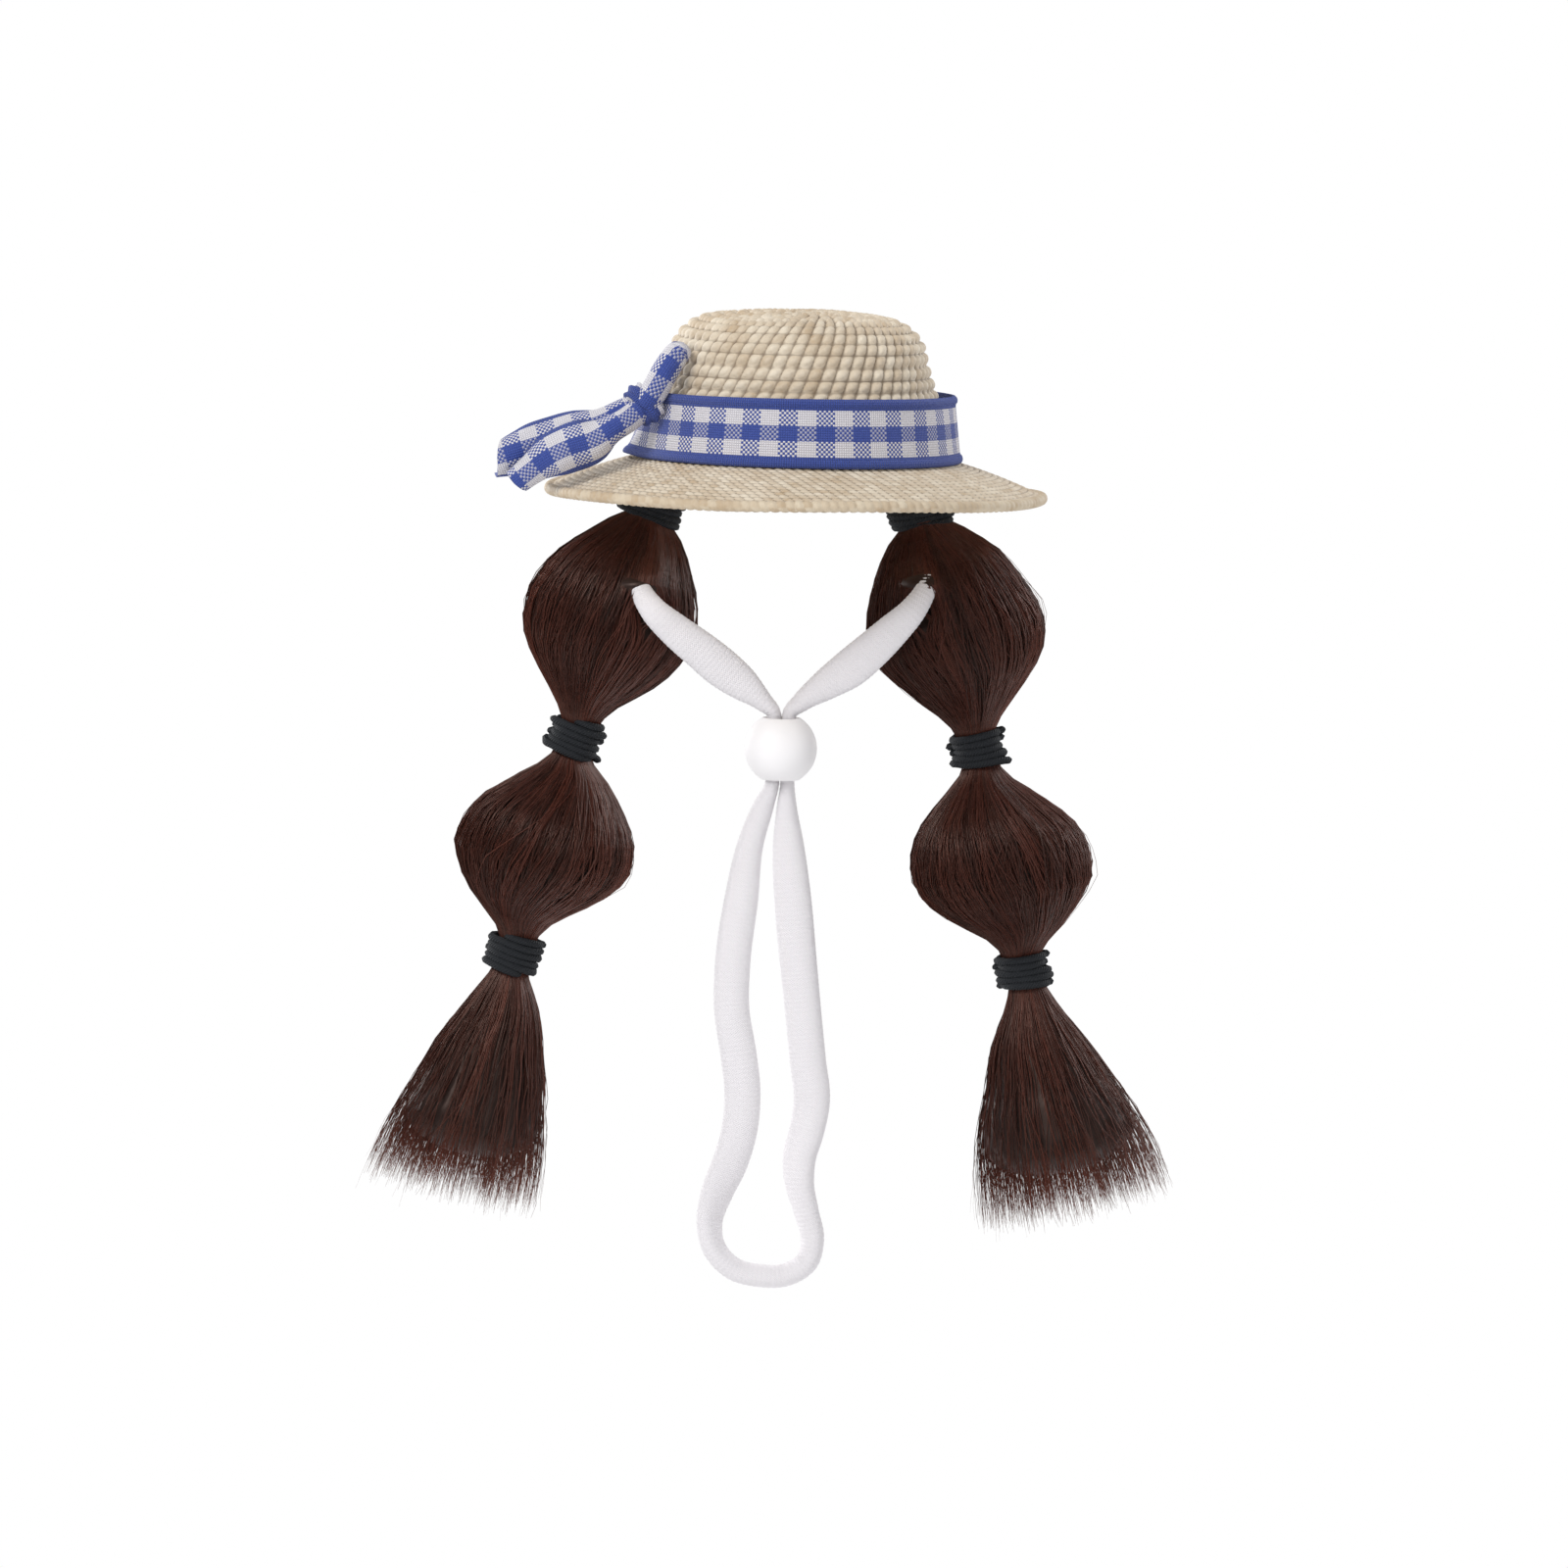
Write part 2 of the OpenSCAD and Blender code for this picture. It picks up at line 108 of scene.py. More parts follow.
# %% [markdown]
# ## Grids that become meshes
# Most pieces are sheets bent into a shape: a grid of points with rows and columns. One helper
# joins neighbours into four-sided faces, and another hands the arrays to Blender in one call.
# That is far quicker than adding faces one by one. The second helper also measures the volume
# that the faces enclose. If it is negative the faces point inwards, so all of them are turned.

# %% From arrays to a mesh
def grid_faces(rows, cols, round_rows=False, round_cols=True):
    """Corner numbers of the faces between the points of a rows x cols grid.

    Point (r, c) has number r * cols + c. A face joins (r, c), (r, c+1), (r+1, c+1) and (r+1, c).
    A direction that is round wraps back to its first row or column."""
    r = np.arange(rows if round_rows else rows - 1)[:, None]
    c = np.arange(cols if round_cols else cols - 1)[None, :]
    below, right = (r + 1) % rows, (c + 1) % cols
    corners = [r * cols + c, r * cols + right, below * cols + right, below * cols + c]
    return np.stack(corners, -1).reshape(-1, 4)


def grid_map(rows, cols, across, along, round_rows=False, round_cols=True):
    """Flat coordinates of each face corner, in millimetres: columns run from 0 to across and rows
    from 0 to along. A wrapped face goes on past the end, so that a pattern has no jump there."""
    r = np.arange(rows if round_rows else rows - 1)[:, None]
    c = np.arange(cols if round_cols else cols - 1)[None, :]
    u = np.stack([c + 0 * r, c + 1 + 0 * r, c + 1 + 0 * r, c + 0 * r], -1) * across / c.size
    v = np.stack([r + 0 * c, r + 0 * c, r + 1 + 0 * c, r + 1 + 0 * c], -1) * along / r.size
    return np.stack([u, v], -1).reshape(-1, 2)


def volume(points, faces):
    """Volume inside the faces: the sum over their triangles of a . (b x c) / 6."""
    total = 0.0
    for k in range(1, faces.shape[1] - 1):
        a, b, c = points[faces[:, 0]], points[faces[:, k]], points[faces[:, k + 1]]
        total += np.einsum("ij,ij->", a, np.cross(b, c)) / 6
    return total


def add_number(mesh, name, values):
    """One number for each point of a mesh, which a material can read by its name."""
    made = mesh.attributes.new(name, "FLOAT", "POINT")
    made.data.foreach_set("value", np.asarray(values, np.float32).ravel())


def make_piece(name, points, faces, body, node, slot, flat=None, tint=None, caps=()):
    """A mesh object from arrays, in millimetres. caps are extra faces of three corners.

    flat is a flat coordinate per face corner, and tint one number per point for the material.
    The piece moves with a CAD body, if one is given, and stands for a CAD node."""
    caps = np.asarray(caps, int).reshape(-1, 3)
    if volume(points, faces) + volume(points, caps) < 0:
        faces, caps = faces[:, ::-1], caps[:, ::-1]
        flat = None if flat is None else flat.reshape(-1, 4, 2)[:, ::-1].reshape(-1, 2)
    mesh = bpy.data.meshes.new(name)
    mesh.vertices.add(len(points))
    mesh.vertices.foreach_set("co", (points * MM).astype(np.float32).ravel())
    mesh.loops.add(faces.size + caps.size)
    mesh.loops.foreach_set("vertex_index", np.concatenate([faces.ravel(), caps.ravel()]).astype(np.int32))
    mesh.polygons.add(len(faces) + len(caps))
    quads, fans = np.arange(len(faces)) * faces.shape[1], faces.size + np.arange(len(caps)) * 3
    starts = np.concatenate([quads, fans])
    mesh.polygons.foreach_set("loop_start", starts.astype(np.int32))
    mesh.polygons.foreach_set("use_smooth", np.full(len(starts), True))
    if flat is not None:
        layer = mesh.uv_layers.new(name="flat")
        whole = np.concatenate([flat, np.zeros((caps.size, 2))])
        layer.data.foreach_set("uv", whole.astype(np.float32).ravel())
    if tint is not None:
        add_number(mesh, "tint", tint)
    mesh.update(calc_edges=True)
    mesh.validate()
    piece = bpy.data.objects.new(name, mesh)
    bpy.context.collection.objects.link(piece)
    if body:
        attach(piece, body)
    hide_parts(node)
    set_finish(piece, slot)
    print(f"{name}: {len(points)} points, {2 * len(faces) + len(caps)} triangles")
    return piece


# %% [markdown]
# ## Chin strap: a soft elastic that follows a line
# The strap is one flat tube of knitted elastic. It is sewn inside the crown at both sides, its two
# runs meet in the bead, and below the bead it hangs as a loop. A curve object could carry it, but
# its width and twist change along the way, so it is swept in code. First the line is made smooth:
# between two stations the path is a cubic that has the stations' own slopes at its ends. Then each
# ring of the tube is an oval, turned about the line, and tiny ripples across it are the knitted ribs.

# %% Lines and ovals
def smooth(at, values, t):
    """Smooth values at each t, through a table with one row of values for each entry of at.

    Between two rows a and b the value is a*h1 + slope_a*h2 + b*h3 + slope_b*h4, with the four
    cubic Hermite weights."""
    at, s = np.asarray(at, float), np.asarray(values, float)
    slope = np.gradient(s, at, axis=0)
    i = np.clip(np.searchsorted(at, t, side="right") - 1, 0, len(at) - 2)
    h = (at[i + 1] - at[i])[..., None]
    u = (t - at[i])[..., None] / h
    return (
        (2 * u**3 - 3 * u**2 + 1) * s[i]
        + (u**3 - 2 * u**2 + u) * h * slope[i]
        + (3 * u**2 - 2 * u**3) * s[i + 1]
        + (u**3 - u**2) * h * slope[i + 1]
    )


def follow(stations, step):
    """A smooth path through stations, about every step millimetres. Extra columns, such as width
    and turn, are smoothed with it."""
    s = np.asarray(stations, float)
    at = np.concatenate([[0], np.cumsum(np.linalg.norm(np.diff(s[:, :3], axis=0), axis=1))])
    return smooth(at, s, np.linspace(0, at[-1], max(3, int(at[-1] / step) + 1)))


def unit(v):
    """v divided by its own length."""
    return v / np.maximum(np.linalg.norm(v, axis=-1, keepdims=True), 1e-9)


def path_ways(line, turn):
    """Three directions at each point of a line: along it, across its width and through its thickness.

    The width lies in the X-Z plane and is then turned about the line by turn degrees."""
    along = unit(np.gradient(line, axis=0))
    flat = unit(np.cross(along, [0.0, 1.0, 0.0]))
    c, s = np.cos(np.radians(turn))[:, None], np.sin(np.radians(turn))[:, None]
    wide = flat * c + np.cross(flat, along) * s
    return along, wide, np.cross(along, wide)


def path_length(line):
    """Sum of the distances from each point to the next."""
    return float(np.linalg.norm(np.diff(line, axis=0), axis=1).sum())


def capped(rings, sides):
    """Triangles that close the first and last ring of a tube, each as a fan from its first point."""
    k = np.arange(1, sides - 1)
    first = np.stack([0 * k, k + 1, k], -1)
    return np.concatenate([first, first[:, ::-1] + (rings - 1) * sides])


# %% [markdown]
# ## Where the strap runs
# The strap has no simple formula, because it lies as the hair, the bead and its own weight let it.
# Its route is a list of given places, the same as in the CAD model: down inside the crown,
# squeezed through the first elastic of each braid, out of the hair, and into the bead.

# %% Strap stations
# Each row is x, y, z, width, thickness, turn, in millimetres and degrees, as in the CAD model.
LEFT_RUN = [
    [-31, -10.3, 8, 7, 2, -71], [-32, -10.6, 3, 7, 2, -71], [-32.6, -9.6, -1.6, 6, 2, -60],
    [-33, -6.8, -5.2, 5, 1.8, -30], [-33.4, -4.5, -8.4, 4.6, 1.7, -5], [-34.5, -4.4, -12.2, 4.6, 1.7, 0],
    [-35.6, -4.4, -16.2, 4.6, 1.8, 0], [-36, -7.2, -20, 4.8, 2.4, 0], [-36, -13, -26.4, 4.8, 3.2, 0],
    [-36, -17.8, -31, 5, 3.4, 0], [-33, -20.8, -35.4, 6.4, 3.4, 0],
    [-27.6, -20.2, -40.2, 8, 3.4, 0], [-21.6, -18.8, -44.8, 9, 3.4, 0], [-16.4, -17.4, -49, 9.4, 3.4, 0],
    [-11.4, -16.2, -52.8, 8, 3.6, 0], [-6.6, -15.3, -56.8, 4.8, 4.2, 0], [-3.9, -15, -59.6, 3.4, 4.8, 0],
    [-3.7, -15, -62.4, 3.3, 4.9, 0], [-3.7, -15, -68, 3.3, 4.9, 0],
]
RIGHT_RUN = [
    [31, -10.3, 8, 7, 2, 71], [31.8, -10.6, 3, 7, 2, 71], [31, -9.6, -1.6, 6, 2, 60],
    [29.6, -6.8, -5.2, 5, 1.8, 30], [28.8, -4.5, -8.4, 4.6, 1.7, 5], [29.9, -4.4, -12.2, 4.6, 1.7, 0],
    [31, -4.4, -16.2, 4.6, 1.8, 0], [31.4, -7.2, -19.8, 4.8, 2.4, 0], [31.4, -12.8, -25, 4.8, 3.2, 0],
    [31.3, -17.6, -29, 5, 3.4, 0], [28.4, -20.8, -33.8, 6.4, 3.4, 0],
    [23.6, -20.2, -39, 8, 3.4, 0], [18.6, -18.8, -44, 9, 3.4, 0], [13.8, -17.4, -48.4, 9.2, 3.4, 0],
    [8.6, -16.2, -52.2, 7.6, 3.6, 0], [2.8, -15.3, -56.6, 4.8, 4.2, 0], [-0.1, -15, -59.6, 3.4, 4.8, 0],
    [-0.3, -15, -62.4, 3.3, 4.9, 0], [-0.3, -15, -68, 3.3, 4.9, 0],
]
LOOP = [
    [-3.7, -15, -68, 3.3, 4.9, 0], [-3.7, -15, -73, 3.3, 4.9, 0], [-3.9, -15, -76.8, 3.4, 4.8, 0],
    [-5.6, -15, -81.4, 4.8, 4.8, 0], [-8.6, -15, -91, 6.2, 4.8, 0], [-10.4, -15, -104, 8, 4.8, 0],
    [-12, -15, -118, 8.4, 5, 0], [-12, -15, -131, 8.4, 5, 0], [-10.2, -15, -141, 8.6, 5, 0],
    [-9, -15, -150, 8.6, 5, 0], [-9.4, -15, -159, 8.6, 5, 5], [-11.4, -15, -167, 8.6, 5, 15],
    [-14.4, -15, -174.6, 8.4, 5, 35], [-16, -15, -181.6, 7.8, 5.2, 60], [-14.8, -15, -187.8, 7.4, 5.4, 80],
    [-10.2, -15, -192.6, 7.4, 5.4, 90], [-3.6, -15, -194.2, 7.4, 5.4, 90], [2.6, -15, -193.8, 7.4, 5.4, 90],
    [7.4, -15, -190.6, 7.4, 5.4, 90], [8.6, -15, -185, 7.6, 5.4, 80], [7, -15, -178.6, 7.8, 5.2, 65],
    [5.2, -15, -172, 8, 5, 45], [5, -15, -165.6, 8.2, 5, 25], [6.6, -15, -159, 8.4, 5, 10],
    [7.6, -15, -152, 8.6, 5, 0], [6.4, -15, -142.4, 8.6, 5, 0], [5, -15, -131, 8.6, 5, 0],
    [3.4, -15, -118, 8.8, 5, 0], [1.8, -15, -104, 8.8, 4.8, 0], [0.4, -15, -91, 7.4, 4.8, 0],
    [-0.2, -15, -81.4, 4.6, 4.8, 0], [-0.2, -15, -76.8, 3.4, 4.8, 0], [-0.3, -15, -73, 3.3, 4.9, 0],
    [-0.3, -15, -68, 3.3, 4.9, 0],
]
BEAD_AT = np.array([-2.0, -15.0, -68.0])
print("stations:", len(LEFT_RUN), "left,", len(RIGHT_RUN), "right,", len(LOOP), "in the loop")


# %% [markdown]
# ## The knitted tube
# Soft elastic of this kind is a knitted tube round rubber threads. It could be a curve with a bevel,
# but a curve's bevel keeps one shape, and this tube is flat where it's free and narrow in the bead.
# So it's swept ring by ring. Its fine ribs are a ripple in the rings themselves.

# %% Knitted elastic
def knitted_strap(name, stations, sides=26, step=0.22, rib=1.1):
    """The strap along stations. A ring's point at angle a is
    centre + wide * w/2 * cos(a) + thick * t/2 * sin(a), with the oval a little squared, and all of
    it grows and shrinks by a ripple of one rib's length."""
    rows = follow(stations, step)
    line = rows[:, :3]
    along, wide, thick = path_ways(line, rows[:, 5])
    run = np.linspace(0, path_length(line), len(line))
    ripple = 0.1 * np.abs(np.sin(np.pi * run / rib))[:, None]
    a = np.linspace(0, 2 * np.pi, sides, endpoint=False)[None, :]
    squared = lambda x: np.sign(x) * np.abs(x) ** 0.86
    half_w, half_t = rows[:, 3:4] / 2 - 0.05 + ripple, rows[:, 4:5] / 2 - 0.05 + ripple
    points = (
        line[:, None, :]
        + wide[:, None, :] * (half_w * squared(np.cos(a)))[..., None]
        + thick[:, None, :] * (half_t * squared(np.sin(a)))[..., None]
    )
    n = len(line)
    strap = make_piece(
        "knit_" + name, points.reshape(-1, 3), grid_faces(n, sides), None, name, "strap_elastic",
        flat=grid_map(n, sides, 22.0, run[-1]), caps=capped(n, sides),
    )
    return strap, line


strap_left, left_line = knitted_strap("strap_left", LEFT_RUN)
strap_right, right_line = knitted_strap("strap_right", RIGHT_RUN)
strap_loop, loop_line = knitted_strap("strap_loop", LOOP)
for strap, line in ((strap_left, left_line), (strap_right, right_line), (strap_loop, loop_line)):
    print(strap.name, round(path_length(line)), "mm long")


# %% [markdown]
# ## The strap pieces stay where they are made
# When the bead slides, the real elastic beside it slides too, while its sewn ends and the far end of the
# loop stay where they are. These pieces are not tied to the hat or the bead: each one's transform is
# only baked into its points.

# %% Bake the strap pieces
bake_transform(strap_left)
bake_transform(strap_right)
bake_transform(strap_loop)

# %% [markdown]
# ## Bead
# The slide bead is a moulded ball with a hole, and the rim of the hole is slightly rounded. A shape
# that is round about one line is best made as a lathe would make it: draw half of its outline and
# turn it about that line. The outline here goes down the outside and back up through the hole.

# %% Turned pieces
def turned(outline, sides):
    """Points of an outline of (radius, height) turned about Z: x = r*sin(a), y = -r*cos(a)."""
    a = np.linspace(0, 2 * np.pi, sides, endpoint=False)
    r, z = outline[:, 0][:, None], outline[:, 1][:, None]
    return np.stack([r * np.sin(a), -r * np.cos(a), z + 0 * a], -1)


BEAD_R, BORE_R, RIM, BEAD_SIDES = 8.6, 3.75, 0.7, 96
flat_half = math.sqrt(BEAD_R**2 - (BORE_R + RIM) ** 2)
side = np.linspace(math.asin(flat_half / BEAD_R), -math.asin(flat_half / BEAD_R), 60)
outside = np.stack([BEAD_R * np.cos(side), BEAD_R * np.sin(side)], -1)
rim = np.linspace(0.35, np.pi / 2, 8)
lower_rim_z = -flat_half + 0.25 - RIM * np.cos(rim) + RIM * 0.75
lower_rim = np.stack([BORE_R + RIM - RIM * np.sin(rim), lower_rim_z], -1)
upper_rim = lower_rim[::-1] * [1, -1]
bore = np.stack([np.full(10, BORE_R), np.linspace(-flat_half + 0.9, flat_half - 0.9, 10)], -1)
outline = np.concatenate([outside, lower_rim, bore, upper_rim])
bead_points = turned(outline, BEAD_SIDES) + BEAD_AT
bead_faces = grid_faces(len(outline), BEAD_SIDES, round_rows=True)
make_piece("slide_bead", bead_points.reshape(-1, 3), bead_faces, "bead", "bead", "bead")

# %% [markdown]
# ## Woven straw
# Straw hats are woven or sewn from a narrow plait, which leaves rows of small plump stitches. A
# plain shell with a bump texture would look flat at its outline, so the stitches are real relief.
# The sheet is cut into rows, each row into cells, and a cell's height is a low pillow: it is 1 in
# the middle and falls to 0 at its edges. Every row is shifted a little, so that the columns lean.
# Each cell also gets one random number, and the material colours the straw with it.

# %% Stitch relief
def straw_stitches(run, angle, radius_at, row_height, stitch_width, row_lean, row_groove=1.0):
    """Height from 0 to 1 and a random number for every point of a woven sheet.

    The row is run / row_height rounded down. Its stitches are 60 or a half, a third and so on of
    that, so that they stand in columns, unless stitch_width says how wide each is.
    In a cell, u and v go from -1 to 1, and the height is (1 - |u|^2.4) * (1 - row_groove * |v|^2.4)."""
    row = np.floor(run / row_height)
    v = 2 * (run / row_height - row) - 1
    middle_r = radius_at((row + 0.5) * row_height)
    if stitch_width:
        count = np.maximum(3, np.round(2 * np.pi * middle_r / stitch_width))
    else:
        count = np.round(60 / np.clip(np.round(27 / middle_r), 1, 6))
    place = angle / (2 * np.pi) * count - row_lean * run / row_height
    cell = np.floor(place)
    u = 2 * (place - cell) - 1
    number = np.sin(row * 12.9898 + np.mod(cell, count) * 78.233) * 43758.5453
    return (1 - np.abs(u) ** 2.4) * (1 - row_groove * np.abs(v) ** 2.4), number - np.floor(number)


def evenly(outline, count):
    """The same outline with count points at equal distances, and the distance of each from its start."""
    at = np.concatenate([[0], np.cumsum(np.linalg.norm(np.diff(outline, axis=0), axis=1))])
    t = np.linspace(0, at[-1], count)
    return np.stack([np.interp(t, at, outline[:, k]) for k in range(2)], -1), t


def outward(outline):
    """Unit direction square to an outline of (radius, height), on its right-hand side."""
    d = np.gradient(outline, axis=0)
    return unit(np.stack([d[:, 1], -d[:, 0]], -1))


# %% [markdown]
# ## Crown
# The crown is one woven dome: a side that leans in, a round shoulder and a nearly flat top. A lathe
# would turn it from half its outline, and so does this cell. The outline is measured along its own
# length first, so that the rows of stitches stay equally high from the foot to the middle of the top.
# The stitches in a row are 60, or fewer near the top, so that they stand in leaning columns.

# %% Crown
FOOT_R, SIDE_R, SIDE_H, SHOULDER_H, SHOULDER_W, DOME, WALL = 38.2, 30.6, 24.0, 10.0, 11.4, 1.3, 1.8


def crown_outline(inset):
    """The crown's half outline: a straight side, a quarter ellipse and a shallow parabola."""
    a = np.linspace(0, np.pi / 2, 60)
    shoulder_r = SIDE_R - SHOULDER_W + (SHOULDER_W - inset) * np.cos(a)
    shoulder = np.stack([shoulder_r, SIDE_H + (SHOULDER_H - inset) * np.sin(a)], -1)
    share = np.linspace(1, 0.004, 30)[1:]
    top_z = SIDE_H + SHOULDER_H - inset + DOME * (1 - share**2)
    top = np.stack([(SIDE_R - SHOULDER_W) * share, top_z], -1)
    side = np.stack([np.linspace(FOOT_R - inset, SIDE_R - inset, 30), np.linspace(0, SIDE_H, 30)], -1)[:-1]
    return np.concatenate([side, shoulder, top])


AROUND = 560
CROWN_WEAVE = 3.05, None, 0.36, 0.92  # row height, stitch width, lean of the columns, groove between rows
around = np.linspace(0, 2 * np.pi, AROUND, endpoint=False)[None, :]
outer, outer_run = evenly(crown_outline(0), 150)
inner, inner_run = evenly(crown_outline(WALL), 24)
crown_radius = lambda run: np.interp(run, outer_run, outer[:, 0])
relief, crown_tint = straw_stitches(outer_run[:, None], around, crown_radius, *CROWN_WEAVE)
run_share = (outer_run / outer_run[-1])[:, None]
hand = 0.25 * np.sin(3 * around + 0.6) * run_share * (1 - run_share) * 4
outer_rz = outer[:, None, :] + outward(outer)[:, None, :] * (1.15 * relief - 0.75 + hand)[..., None]
inner_relief, inner_tint = straw_stitches(inner_run[:, None], around, crown_radius, *CROWN_WEAVE)
inner_rz = inner[:, None, :] - outward(inner)[:, None, :] * (0.25 * inner_relief)[..., None]
rz = np.concatenate([inner_rz[::-1], outer_rz])
crown_points = np.stack([rz[..., 0] * np.sin(around), -rz[..., 0] * np.cos(around), rz[..., 1]], -1)
rows = len(rz)
crown = make_piece(
    "straw_crown", crown_points.reshape(-1, 3), grid_faces(rows, AROUND), "hat", "crown", "straw",
    tint=np.concatenate([inner_tint[::-1], crown_tint]), caps=capped(rows, AROUND),
)
add_number(crown.data, "depth", np.concatenate([inner_relief[::-1] * 0 + 0.7, relief]))

# %% [markdown]
# ## Brim
# The brim is woven flatter and finer than the crown, and droops a little more towards its edge. It is
# a ring with a top and an underside, both with relief, and two slow waves round it, because straw
# never dries quite level.

# %% Brim
BRIM_R, EDGE_R, SLOPE, DROOP = 60.0, 1.3, 0.27, 0.0042
brim_z = lambda r: -SLOPE * (r - FOOT_R) - DROOP * (r - FOOT_R) ** 2
BRIM_AROUND = 760
brim_angle = np.linspace(0, 2 * np.pi, BRIM_AROUND, endpoint=False)[None, :]
reach = np.linspace(FOOT_R - WALL, BRIM_R - EDGE_R, 84)
under_reach = np.linspace(BRIM_R - EDGE_R, FOOT_R - WALL, 38)
brim_radius = lambda run: FOOT_R - WALL + run
BRIM_WEAVE = 1.45, 2.3, 0.42
top_relief, top_tint = straw_stitches(reach[:, None] - reach[0], brim_angle, brim_radius, *BRIM_WEAVE)
low_relief, low_tint = straw_stitches(under_reach[:, None] - reach[0], brim_angle, brim_radius, *BRIM_WEAVE)
wave = 0.35 * np.sin(2 * brim_angle + 0.8) + 0.2 * np.sin(5 * brim_angle)
share = lambda r: np.clip((r - FOOT_R) / (BRIM_R - FOOT_R), 0, 1)[:, None] ** 2
top_z = np.minimum(brim_z(reach), 0)[:, None] + 0.45 * top_relief - 0.3 + wave * share(reach)
low_z = np.minimum(brim_z(under_reach), 0)[:, None] - WALL - 0.35 * low_relief + 0.2
low_z = low_z + wave * share(under_reach)
ring_r = np.concatenate([reach, under_reach])[:, None] + 0 * brim_angle
ring_z = np.concatenate([top_z, low_z])
brim_points = np.stack([ring_r * np.sin(brim_angle), -ring_r * np.cos(brim_angle), ring_z], -1)
brim = make_piece(
    "straw_brim", brim_points.reshape(-1, 3), grid_faces(len(ring_r), BRIM_AROUND, round_rows=True),
    "hat", "brim", "straw", tint=np.concatenate([top_tint, low_tint]),
)
add_number(brim.data, "depth", np.concatenate([top_relief, low_relief]))

# %% [markdown]
# ## Edge of the brim
# The last row of a straw brim is turned over a thin cord, so the rim is round and a bit lumpy. It is
# a ring whose own thickness grows and shrinks with each stitch, wound at a slant.

# %% Edge cord
edge_steps, edge_sides, EDGE_WRAPS = 1440, 14, 180
a = np.linspace(0, 2 * np.pi, edge_steps, endpoint=False)[:, None]
b = np.linspace(0, 2 * np.pi, edge_sides, endpoint=False)[None, :]
wraps = np.abs(np.sin(0.5 * (EDGE_WRAPS * a + b)))
thick = EDGE_R - 0.2 + 0.28 * wraps
mid_r, mid_z = BRIM_R - EDGE_R, brim_z(BRIM_R - 1.7 * EDGE_R) - WALL / 2
edge_r = mid_r + thick * 0.92 * np.cos(b)
edge_z = mid_z + thick * np.sin(b) + 0.35 * np.sin(2 * a + 0.8) + 0.2 * np.sin(5 * a)
edge_points = np.stack([edge_r * np.sin(a), -edge_r * np.cos(a), edge_z], -1)
number = np.sin(np.floor(EDGE_WRAPS * a / (2 * np.pi) + b / (2 * np.pi)) * 12.9898) * 43758.5453
make_piece(
    "brim_edge_cord", edge_points.reshape(-1, 3), grid_faces(edge_steps, edge_sides, round_rows=True),
    "hat", "brim_edge", "straw_edge", tint=number - np.floor(number),
)

# %% [markdown]
# ## Gingham ribbon
# The ribbon is a flat woven strip with a thick woven edge on each side. Round the crown it is a ring
# of that strip, leaning in at the top. Its loose parts curl across their width, because a ribbon
# that comes out of a knot is still half folded. A curled strip is easy to describe: across its
# width it is an arc of a circle, wide open where the curl is small and a tube where it is large.

# %% Ribbon pieces
RIBBON_W, RIBBON_T = 16.0, 0.7
CHECK, CHECKS_ROUND = 8.8, 27  # length of one check, and how many go round the crown


def ribbon_thickness(w):
    """Thin in the middle and thicker in the woven edges, w millimetres from the middle."""
    return RIBBON_T - 0.1 + 0.55 * np.exp(-(((np.abs(w) - 7.0) / 0.85) ** 4))


def band_points(around):
    """The band's closed section at each angle: out along its outer face, back along its inner face.

    Its inner radius falls evenly from 38.45 at the foot to 36.25 at the top. Two small waves are
    added, and just behind the knot a flare at the foot and a pinch at the top."""
    w = np.linspace(-RIBBON_W / 2, RIBBON_W / 2, 41)
    height = RIBBON_W / 2 + 0.15
    lean = 38.45 - 2.2 * (w + RIBBON_W / 2) / RIBBON_W
    ease = 0.22 * (1 + np.sin(3 * around[:, None] + 1.2))
    ease = ease + 0.15 * (1 + np.sin(8 * around[:, None] + 0.4 * w / 4))
    upper = np.clip((w + 8) / 16, 0, 1)
    flare = 2.4 * np.exp(-(((around[:, None] + 1.42) / 0.16) ** 2)) * np.clip(-w / 8, 0, 1) ** 1.5
    pinch = -1.6 * np.exp(-(((around[:, None] + 1.25) / 0.13) ** 2)) * upper
    inner_r = lean + ease * (0.4 + 0.6 * upper) + flare + pinch * 0.3
    z = w + height + 0.25 * np.sin(2 * around[:, None] + 0.9) * upper + flare * 0.3
    outer_r = inner_r + ribbon_thickness(w)
    r = np.concatenate([outer_r, inner_r[:, ::-1]], 1)
    z = np.concatenate([z, z[:, ::-1]], 1)
    return r, z, np.concatenate([w, w[::-1]])


# %% Ribbon band
band_around = np.linspace(-np.pi, np.pi, 480, endpoint=False)
r, z, across = band_points(band_around)
points = np.stack([r * np.sin(band_around)[:, None], -r * np.cos(band_around)[:, None], z], -1)
cols = r.shape[1]
faces = grid_faces(len(band_around), cols, round_rows=True)
flat_map = grid_map(len(band_around), cols, 1.0, CHECKS_ROUND * CHECK, round_rows=True)
flat_map = np.stack([flat_map[:, 1], across[faces % cols].ravel()], -1)
ribbon_band = make_piece(
    "gingham_band", points.reshape(-1, 3), faces, "hat", "ribbon_band", "gingham", flat=flat_map
)


# %% [markdown]
# ### Loop and ends
# The ribbon's free parts are swept like the strap, but each ring is now an open arc with a
# thickness. The stations say where it runs and how far it curls.

